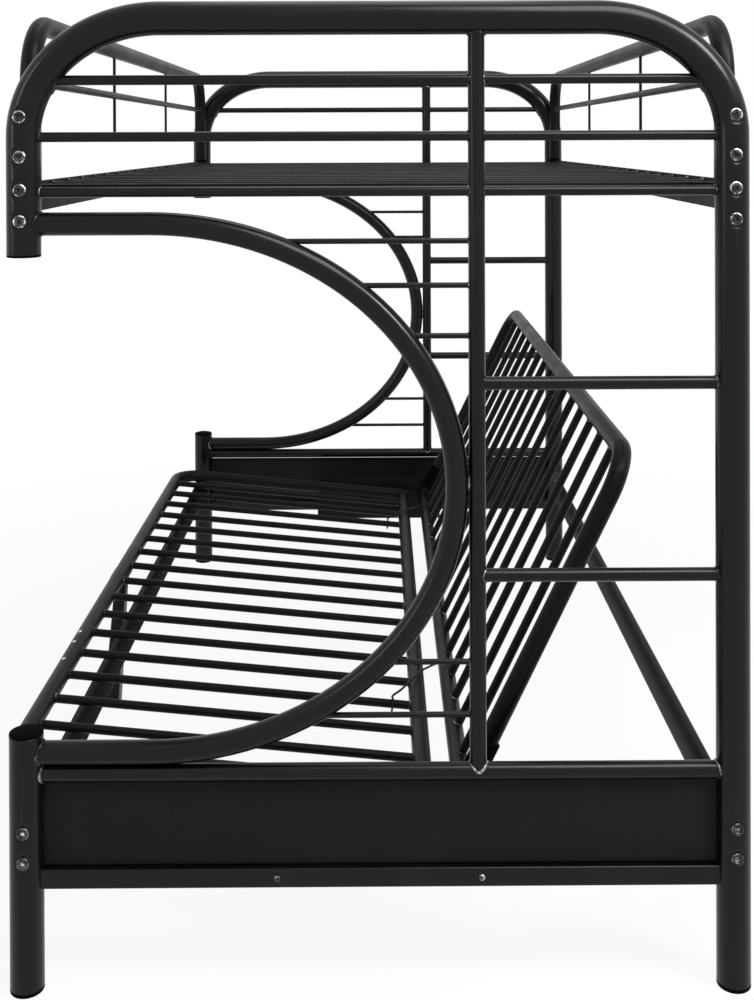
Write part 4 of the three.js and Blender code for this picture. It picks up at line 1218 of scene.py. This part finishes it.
def smooth_line(points, per_span):
    """A line through given points, rounded in the way of a bent wire."""
    line = []
    last = len(points) - 1
    for i in range(last):
        a, b = points[max(i - 1, 0)], points[i]
        c, d = points[i + 1], points[min(i + 2, last)]
        for step in range(per_span):
            t = step / per_span
            line.append(0.5 * (
                2 * b + (c - a) * t + (2 * a - 5 * b + 4 * c - d) * t ** 2
                + (3 * b - a - 3 * c + d) * t ** 3
            ))
    line.append(points[last])
    return line


def add_stop_hook(end, start, slat, futon):
    """The wire hook from the hinge rail to a seat slat."""
    wire, room = 0.002, 0.0012
    round_rail = futon.radius + room + wire
    round_slat = SLAT_RADIUS + room + wire
    start_y = start * futon.back_pitch
    slat_y = slat * futon.seat_pitch
    hook_x = futon.rear_rail - HOOK_BEFORE_RAIL
    slant = round_rail * math.sqrt(0.5)
    rail_y = start_y + (slat_y - start_y) / 3
    top = round_rail + wire
    points = [
        (HINGE_DISTANCE + slant, start_y, -slant),
        (HINGE_DISTANCE + round_rail, start_y, 0),
        (HINGE_DISTANCE + slant, start_y, slant),
        (HINGE_DISTANCE, start_y, round_rail),
        (futon.rear_rail + futon.radius, rail_y, top),
        (futon.rear_rail, (start_y + slat_y) / 2, top),
        (hook_x + futon.radius, slat_y + 2 * round_slat, round_rail),
        (hook_x, slat_y + round_slat / 2, round_slat + wire),
        (hook_x, slat_y - round_slat / 2, round_slat),
        (hook_x, slat_y - round_slat - wire, 0),
        (hook_x, slat_y - round_slat / 2, -round_slat),
    ]
    bm = bmesh.new()
    line = smooth_line([SEAT_PLACE @ Vector(p) for p in points], 7)
    tube(bm, line, wire, 14)
    add_piece(f"{end}_wire_hook", bm, f"{end}_stop_hook", body="seat", slot="black_steel")


class BUNK_OT_fold_mechanism(bpy.types.Operator):
    """Make the slotted brackets, hinge plates, pins, sleeves and wire hooks"""

    bl_idname = "bunk.fold_mechanism"
    bl_label = "Fold mechanism"

    def execute(self, context):
        futon = FutonPlace()
        for end, way in ENDS.items():
            add_slide_bracket(end, way)
            add_hinge_plate(end, way)
            add_back_sleeve(end, way, futon)
        add_stop_hook("near", -3.5, -5.5, futon)
        add_stop_hook("far", 6.5, 5.5, futon)
        return {"FINISHED"}


LEG_HALF, LEG_SHEET, LEG_FOLD = 0.020, 0.003, 0.005
LEG_FOOT_FORWARD, LEG_FOOT_WIDTH, LEG_TOP_WIDTH = 0.022, 0.034, 0.024
SADDLE_HALF, SADDLE_ROOM, SADDLE_SHEET = 0.032, 0.0003, 0.0033


class BUNK_OT_middle_leg(bpy.types.Operator):
    """Make the tapered channel leg under the seat's front rail, with its saddle"""

    bl_idname = "bunk.middle_leg"
    bl_label = "Middle leg"

    def execute(self, context):
        radius = FutonPlace().radius
        half = LEG_HALF
        bm = bmesh.new()
        sections = []
        for z, centre, width in (
            (0.0, SEAT_FRONT.x - LEG_FOOT_FORWARD, LEG_FOOT_WIDTH),
            (SEAT_FRONT.z - radius * 0.5, SEAT_FRONT.x, LEG_TOP_WIDTH),
        ):
            front, rear = centre - width / 2, centre + width / 2
            line = [(front, half), (front, -half), (rear, -half), (rear, half)]
            section = folded_outline(line, LEG_SHEET, LEG_FOLD)
            sections.append([bm.verts.new(Vector((x, y, z))) for x, y in section])
        skin(bm, sections)
        bore = radius + SADDLE_ROOM
        centre = (SEAT_FRONT.z, SEAT_FRONT.x)
        inner = circle(centre, bore, 33, 90, 270)
        outer = circle(centre, bore + SADDLE_SHEET, 33, 90, 270)
        across_y(bm, outer + inner[::-1], -SADDLE_HALF, SADDLE_HALF)
        soften(bm, sizes("bunk_sheets").edge)
        add_piece("middle_leg_and_saddle", bm, "support_leg", body="support_leg",
                  slot="black_steel")
        return {"FINISHED"}


# Fasteners.

def hexagon(angle):
    """How far a hexagon's edge is from its middle, against the radius of its flats."""
    return 1 / math.cos((angle % (math.pi / 3)) - math.pi / 6)


def cross_slot(angle):
    """The outline of a cross recess: four narrow arms."""
    return 0.34 + 0.66 * max(abs(math.cos(2 * angle)) * 2.2 - 1.2, 0)


class Marked:
    """A mesh in the making whose corners carry a mark for bright edges: bare metal, and on the bolts also a
    painted highlight.
    """

    def __init__(self):
        self.bm = bmesh.new()
        self.layer = self.bm.verts.layers.float.new("rim")

    def head(self, centre, axis, radius, rise, rows, count=36, shape=hexagon):
        """Rows of (radius share, rise share, mark, shaped), from the outside to the middle."""
        side = axis.orthogonal().normalized()
        up = axis.cross(side)
        made = []
        for share, height, mark, shaped in rows:
            verts = []
            for i in range(count):
                angle = 2 * math.pi * i / count
                size = radius * share * (shape(angle) if shaped else 1)
                offset = side * (size * math.cos(angle)) + up * (size * math.sin(angle))
                vert = self.bm.verts.new(centre + offset + axis * (rise * height))
                vert[self.layer] = mark
                verts.append(vert)
            made.append(verts)
        skin(self.bm, made)

    def finish(self, name, body="root", look="bolt_black"):
        add_piece(name, self.bm, body=body, slot="black_steel", look=look)


# Each row: shares of the radius and of the rise, the mark, and 1 if it takes the head's shape.
BOLT_ROWS = (
    (0.97, -0.3846, 0, 0), (1, 0.0769, 0.3, 0), (1, 0.35, 0.9, 0), (0.95, 0.62, 1, 0),
    (0.84, 0.84, 1, 0), (0.74, 0.96, 0.3, 0), (0.64, 1, 0, 0), (0.42, 1, 0.25, 1),
    (0.39, 0.88, 0, 1), (0.38, 0.10, 0, 1), (0.22, 0.08, 0, 0), (0.05, 0.05, 0, 0),
)
NUT_ROWS = (
    (0.93, -0.1, 0, 1), (1, 0.1, 0.5, 1), (1, 0.75, 0.6, 1), (0.88, 1, 0.8, 1),
    (0.50, 1, 0.5, 0), (0.48, 0.9, 0, 0), (0.47, 1.25, 0.2, 0), (0.40, 1.4, 0.6, 0),
    (0.05, 1.4, 0.2, 0),
)
SCREW_ROWS = (
    (0.97, -0.1923, 0, 0), (1, 0.0769, 0.2, 0), (0.96, 0.45, 0.8, 0), (0.78, 0.85, 0.7, 0),
    (0.60, 1, 0.4, 0), (0.55, 1, 0.5, 1), (0.50, 0.4, 0, 1), (0.06, 0.2, 0, 0),
)
RIVET_ROWS = (
    (1, -0.2778, 0.1, 0),
    *((math.cos(math.pi * k / 10), math.sin(math.pi * k / 10), 0.3 + 0.12 * k, 0)
      for k in range(5)),
    (0.08, 1, 0.8, 0),
)


NUT_RADIUS, NUT_RISE, SCREW_RISE, RIVET_RISE = 0.0062, 0.005, 0.0026, 0.0018
SCREW_INSETS = (0.0266, 0.0276)
RIVETS_ALONG_RAIL = (-0.520, -0.439, -0.389)


def bolt_rows_bare_and_glinting(ring, core):
    """Ring and core say how bright the bolt's rim and its socket are, partly as bare steel where the coat is off
    and partly as a painted highlight.
    """
    rim = [(share, height, mark * ring, 0) for share, height, mark, _ in BOLT_ROWS[1:6]]
    socket = [(share, height, core, 0) for share, height, _, _ in BOLT_ROWS[-2:]]
    return [BOLT_ROWS[0], *rim, *BOLT_ROWS[6:-2], *socket]


class BUNK_OT_fasteners(bpy.types.Operator):
    """Make the socket bolts on the posts, their nuts, the bars' screws and the rivets"""

    bl_idname = "bunk.fasteners"
    bl_label = "Fasteners"

    def execute(self, context):
        small = sizes("bunk_fasteners")
        for end, way in ENDS.items():
            place = EndFrame(end)
            self.post_bolts(place, way, small)
            self.plate_nuts(place, way)
            self.bar_screws(place, way, small)
        self.rivets(small)
        return {"FINISHED"}

    def post_bolts(self, place, way, small):
        made = Marked()
        # The upper bolts get a bright rim and the lower ones a bright socket, partly bare steel and partly painted
        # highlight.
        for heights, ring, core in ((UPPER_BOLTS, 1.0, 0.0), (LOWER_BOLTS, 0.18, 1.0)):
            rows = bolt_rows_bare_and_glinting(ring, core)
            for seat in place.bolt_seats(way, heights):
                made.head(seat, Y * way, small.bolt_head / 2, small.bolt_rise, rows)
        made.finish(f"{place.end}_post_bolts")

    def plate_nuts(self, place, way):
        made = Marked()
        inner = middle_and_half("front_deck_rail", 1)[1] - sizes("bunk_sheets").plate
        for x in (place.front_x, place.rear_x):
            for z in PLATE_BOLTS:
                seat = Vector((x, way * inner, z))
                made.head(seat, -Y * way, NUT_RADIUS, NUT_RISE, NUT_ROWS)
        made.finish(f"{place.end}_plate_nuts")

    def bar_screws(self, place, way, small):
        low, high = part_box(f"{place.end}_panel_bar")
        face = high.y if way > 0 else low.y
        front, rear = (corner.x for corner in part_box(f"{place.end}_slide_bracket"))
        made = Marked()
        for x in (front + SCREW_INSETS[0], rear - SCREW_INSETS[1]):
            centre = Vector((x, face, (low.z + high.z) / 2))
            radius = small.screw_head / 2
            made.head(centre, Y * way, radius, SCREW_RISE, SCREW_ROWS, 48, cross_slot)
        made.finish(f"{place.end}_bar_screws")

    def rivets(self, small):
        futon = FutonPlace()
        made = Marked()
        lean = Vector((-0.35, 0, 1)).normalized()
        for y in RIVETS_ALONG_RAIL:
            foot = SEAT_PLACE @ (Vector((0, y, 0)) + lean * futon.radius)
            axis = SEAT_PLACE.to_3x3() @ lean
            made.head(foot, axis, small.rivet_head / 2, RIVET_RISE, RIVET_ROWS, 24)
        made.finish("seat_rail_rivets", "seat", "bright_steel")


# Weld beads.

class Beads:
    """Weld beads gathered into one mesh. Each bead ripples along its length."""

    def __init__(self, seed):
        self.bm = bmesh.new()
        self.seed = seed

    def run(self, points, size, closed):
        frames = directions(points, closed)
        sides = 7
        rings = []
        distance = 0.0
        for i, (point, (_, side, up)) in enumerate(zip(points, frames)):
            if i:
                distance += (point - points[i - 1]).length
            ripple = 0.16 * abs(math.sin(math.pi * distance / (size * 1.3)))
            drift = 0.22 * noise.noise(point * 90 + Vector((self.seed, 0, 0)))
            end = 0 if closed or 0 < i < len(points) - 1 else 0.5
            radius = size * (0.9 + ripple + drift - end)
            rings.append(ring(self.bm, point, side, up, radius, sides))
        skin(self.bm, rings, capped=not closed)
        if closed:
            self.close_loop(rings[-1], rings[0])

    def close_loop(self, last, first):
        """Joins a loop's ends, turned so that the nearest corners meet."""
        count = len(first)
        turn = min(range(count), key=lambda k: (last[0].co - first[k].co).length)
        bridge(self.bm, last, first[turn:] + first[:turn])

    def saddle(self, centre, along, parent_axis, radius, parent_radius, size):
        """Round the foot of a tube that leaves a round parent through its axis."""
        across = parent_axis.cross(along).normalized()
        count = max(14, round(2 * math.pi * radius / (size * 0.6)))
        points = []
        for i in range(count):
            angle = 2 * math.pi * i / count
            sideways = min(radius * math.sin(angle), parent_radius * 0.98)
            lift = math.sqrt(parent_radius ** 2 - sideways ** 2)
            points.append(
                centre + parent_axis * (radius * math.cos(angle)) + across * sideways
                + along * lift
            )
        self.run(points, size, True)

    def seam(self, start, end, size):
        count = max(3, round((end - start).length / (size * 0.7)))
        self.run([start.lerp(end, i / count) for i in range(count + 1)], size, False)

    def finish(self, name, body="root"):
        add_piece(name, self.bm, body=body, look="weld_coat_with_glints", crease=60)


TOUCH_HALF = 0.020
RAIL_TACK_HALF = 0.004


class BUNK_OT_welds(bpy.types.Operator):
    """Make the weld beads of the end frames, the guards and the futon"""

    bl_idname = "bunk.welds"
    bl_label = "Welds"

    def execute(self, context):
        small = sizes("bunk_fasteners")
        for number, end in enumerate(ENDS):
            self.end_frame(EndFrame(end), small, number)
        for number, side in enumerate(SIDES):
            self.guard(GuardPlace(side), side, small, number + 5)
        self.futon(small)
        return {"FINISHED"}

    def end_frame(self, place, small, seed):
        beads = Beads(seed)
        size, thin = small.tube_weld, small.slat_weld
        post, bow, upright = place.post_radius, place.bow_radius, place.ladder_radius
        bottom, ladder_x = place.bottom_radius, place.ladder_x

        def saddle(x, z, *around):
            beads.saddle(place.at(x, z), *around)

        for z in (place.bow_high_z, place.bow_low_z):
            saddle(place.front_x, z, X, Z, bow, post, size)
        for x, way in ((place.front_x, X), (place.rear_x, -X)):
            saddle(x, place.bottom_z, way, Z, bottom, post, size)
        for node in END_RAILS:
            z, radius = level_tube(f"{place.end}_{node}")
            half = place.hoop_half_width(z)
            for way in (-1, 1):
                axis = self.hoop_axis(place, way, z)
                along = Vector((axis.z, 0, -axis.x)) * -way
                saddle(place.centre_x + way * half, z, along, axis, radius, post, thin)
                saddle(ladder_x, z, X * way, Z, radius, upright, thin)
        for level in ("upper", "lower"):
            z, radius = level_tube(f"{place.end}_ladder_rung_{level}")
            saddle(ladder_x, z, X, Z, radius, upright, thin)
            saddle(place.rear_x, z, -X, Z, radius, post, thin)
        saddle(ladder_x, place.top_z, -Z, X, upright, post, size)
        saddle(ladder_x, place.bottom_z, Z, X, upright, bottom, size)
        rod = sizes("bunk_tubes").rod / 2
        for z in rod_heights(place):
            saddle(ladder_x, z, -X, Z, rod, upright, thin * 0.8)
        middle = place.at(ladder_x - upright, place.bow_centre.z)
        for way in (-1, 1):
            touch = middle + Y * (way * upright * 0.42)
            beads.seam(touch - Z * TOUCH_HALF, touch + Z * TOUCH_HALF, thin)
        beads.finish(f"{place.end}_frame_welds")

    def hoop_axis(self, place, way, z):
        """The hoop's own direction at a height, on its front or its rear."""
        step = 0.002
        slope = (place.hoop_half_width(z - step) - place.hoop_half_width(z + step)) / (2 * step)
        return Vector((-way * slope, 0, 1)).normalized()

    def guard(self, place, side, small, seed):
        beads = Beads(seed)
        thin = small.slat_weld * 0.9
        for z in (place.low_rail_z, place.high_rail_z):
            for way in (-1, 1):
                beads.saddle(place.at(way * place.leg_y, z), -Y * way, Z, place.rail_radius,
                             place.radius, thin)
        for y in place.rods:
            beads.saddle(place.at(y, place.top_z), -Z, Y, place.rod_radius, place.radius,
                         thin * 0.7)
            for z, way in ((place.low_rail_z, 1), (place.high_rail_z, 1),
                           (place.high_rail_z, -1)):
                beads.saddle(place.at(y, z), Z * way, Y, place.rod_radius, place.rail_radius,
                             thin * 0.7)
        beads.finish(f"{side}_guard_welds")

    def futon(self, small):
        futon = FutonPlace()
        for number, deck in enumerate(futon.decks()):
            name, place, _, closed_x, rail_x, pitch, count = deck
            beads = Beads(number + 11)
            turn = place.to_3x3()
            for i in range(1, count + 1):
                y = -futon.side_y + pitch * i
                for x, other in ((rail_x, closed_x), (closed_x, rail_x)):
                    way = math.copysign(1, other - x)
                    beads.saddle(place @ Vector((x, y, 0)), turn @ X * way, turn @ Y,
                                 SLAT_RADIUS, futon.radius, small.slat_weld)
            for way in (-1, 1):
                for lift in (-1, 1):
                    x = rail_x - math.copysign(futon.radius, rail_x - closed_x)
                    at = Vector((x, way * (futon.side_y - 0.002), lift * futon.radius * 0.55))
                    ends = [place @ (at + X * (sign * RAIL_TACK_HALF)) for sign in (-1, 1)]
                    beads.seam(*ends, small.tube_weld * 0.8)
            beads.finish(f"{name}_welds", name)


# Stage.

CAMERA_PLACE = Vector((0.03615, -2.8953, 1.272))
CAMERA_TURN = math.radians(-0.309)
CAMERA_TILT = math.radians(-0.302)
CAMERA_ROLL = math.radians(-0.200)
CAMERA_LENS = 46.09
CAMERA_SHIFT = (-0.0072, -0.3534)
FLOOR_HALF = 14.0
# The distances from the bed's middle, and the shares of plain white there.
FLOOR_FADE = (1.0, 2.4, 0.90, 1.0)
SKY_LIGHT = 0.36
# Each lamp: its place, what it points at, its width and height, and its power.
LIGHTS = (
    ("key_light", (1.0, -2.0, 3.1), (0.35, -0.90, 0.9), (1.5, 1.2), 56),
    ("side_light", (1.95, -1.95, 2.5), (0.25, -0.95, 1.2), (0.55, 0.8), 44),
    ("fill_light", (-3.0, -2.2, 1.9), (0, -0.3, 0.8), (0.45, 2.0), 18),
    ("top_light", (0, 0.3, 3.6), (0, 0.2, 0), (1.2, 2.6), 14),
)


def add_light(name, place, target, size, power):
    lamp = bpy.data.lights.new(name, "AREA")
    lamp.shape = "RECTANGLE"
    lamp.size, lamp.size_y = size
    lamp.energy = power
    holder = add_object(name, lamp)
    holder.location = place
    holder.rotation_euler = (Vector(target) - Vector(place)).to_track_quat("-Z", "Y").to_euler()


def seen_directly(tree):
    """1 for what the camera sees, itself or in gloss and glass, and 0 for the light."""
    rays = tree.nodes.new("ShaderNodeLightPath").outputs
    seen = add_math(tree, "MAXIMUM", rays["Is Camera Ray"], rays["Is Glossy Ray"])
    return add_math(tree, "MAXIMUM", seen, rays["Is Transmission Ray"])


def build_floor(base):
    """Pale floor: plain near the bed, where it keeps the shadow, and white further off."""
    tree, shader, vector = start_material("pale_floor", base, specular=0.1)
    shader.inputs["Roughness"].default_value = 0.9
    away = tree.nodes.new("ShaderNodeVectorMath")
    away.operation = "LENGTH"
    feed(tree, away.inputs[0], vector)
    fade = add_range(tree, away.outputs["Value"], *FLOOR_FADE)
    glow = tree.nodes.new("ShaderNodeEmission")
    glow.inputs["Color"].default_value = (1, 1, 1, 1)
    blend = tree.nodes.new("ShaderNodeMixShader")
    feed(tree, blend.inputs["Fac"], add_math(tree, "MULTIPLY", seen_directly(tree), fade))
    feed(tree, blend.inputs[1], shader.outputs["BSDF"])
    feed(tree, blend.inputs[2], glow.outputs["Emission"])
    feed(tree, tree.nodes["Material Output"].inputs["Surface"], blend.outputs["Shader"])


def build_world():
    """White for what the camera and gloss see, and softer for the light on the bed."""
    world = bpy.data.worlds.new("studio_world")
    bpy.context.scene.world = world
    world.use_nodes = True
    tree = world.node_tree
    background = tree.nodes["Background"].inputs
    background["Color"].default_value = (1, 1, 1, 1)
    level = add_range(tree, seen_directly(tree), 0, 1, SKY_LIGHT, 1.0)
    feed(tree, background["Strength"], level)


def add_camera(scene):
    lens = bpy.data.cameras.new("photo_camera")
    lens.lens = CAMERA_LENS
    lens.sensor_width = 36
    lens.shift_x, lens.shift_y = CAMERA_SHIFT
    lens.clip_end = 60
    camera = add_object("photo_camera", lens)
    camera.location = CAMERA_PLACE
    turn = Matrix.Rotation(CAMERA_TURN, 3, "Z")
    tilt = Matrix.Rotation(math.radians(90) + CAMERA_TILT, 3, "X")
    roll = Matrix.Rotation(CAMERA_ROLL, 3, "Z")
    camera.rotation_euler = (turn @ tilt @ roll).to_euler()
    scene.camera = camera


class BUNK_OT_stage(bpy.types.Operator):
    """Make the floor, the white surround, the soft lights and the camera"""

    bl_idname = "bunk.stage"
    bl_label = "Stage"

    def execute(self, context):
        scene = context.scene
        build_floor(tuple(scene.bunk_finishes.floor))
        build_world()
        mesh = bpy.data.meshes.new("studio_floor")
        outline = rectangle(-FLOOR_HALF, FLOOR_HALF, -FLOOR_HALF, FLOOR_HALF)
        mesh.from_pydata([(x, y, 0) for x, y in outline], [], [(0, 1, 2, 3)])
        mesh.materials.append(finish("pale_floor"))
        add_object("studio_floor", mesh)
        for light in LIGHTS:
            add_light(*light)
        add_camera(scene)
        scene.view_settings.view_transform = "Standard"
        return {"FINISHED"}


# Panel and add-on.

STEPS = (
    BUNK_OT_finishes, BUNK_OT_end_frames, BUNK_OT_plugs, BUNK_OT_base_panels,
    BUNK_OT_side_guards, BUNK_OT_angle_rails, BUNK_OT_deck_slats, BUNK_OT_futon_decks,
    BUNK_OT_fold_mechanism, BUNK_OT_middle_leg, BUNK_OT_fasteners, BUNK_OT_welds,
    BUNK_OT_stage,
)
GROUPS = {
    "bunk_tubes": BunkTubeSizes,
    "bunk_sheets": BunkSheetSizes,
    "bunk_fasteners": BunkFastenerSizes,
    "bunk_finishes": BunkFinishes,
}


class BUNK_PT_panel(bpy.types.Panel):
    """Lists the bed's sizes, colours and steps"""

    bl_idname = "BUNK_PT_panel"
    bl_label = "Metal bunk bed"
    bl_space_type = "VIEW_3D"
    bl_region_type = "UI"
    bl_category = "Bunk bed"

    def draw(self, context):
        layout = self.layout
        for group, kind in GROUPS.items():
            column = layout.box().column()
            for label in kind.__annotations__:
                column.prop(getattr(context.scene, group), label)
        for step in STEPS:
            layout.operator(step.bl_idname)


CLASSES = (*GROUPS.values(), *STEPS, BUNK_PT_panel)


def register():
    for kind in CLASSES:
        bpy.utils.register_class(kind)
    for group, kind in GROUPS.items():
        setattr(bpy.types.Scene, group, PointerProperty(type=kind))


def unregister():
    for group in GROUPS:
        delattr(bpy.types.Scene, group)
    for kind in reversed(CLASSES):
        bpy.utils.unregister_class(kind)


def main():
    register()
    for step in STEPS:
        name = step.bl_idname.split(".")[1]
        if getattr(bpy.ops.bunk, name)() != {"FINISHED"}:
            raise RuntimeError(f"{step.bl_label} did not finish")


if __name__ == "__main__":
    main()
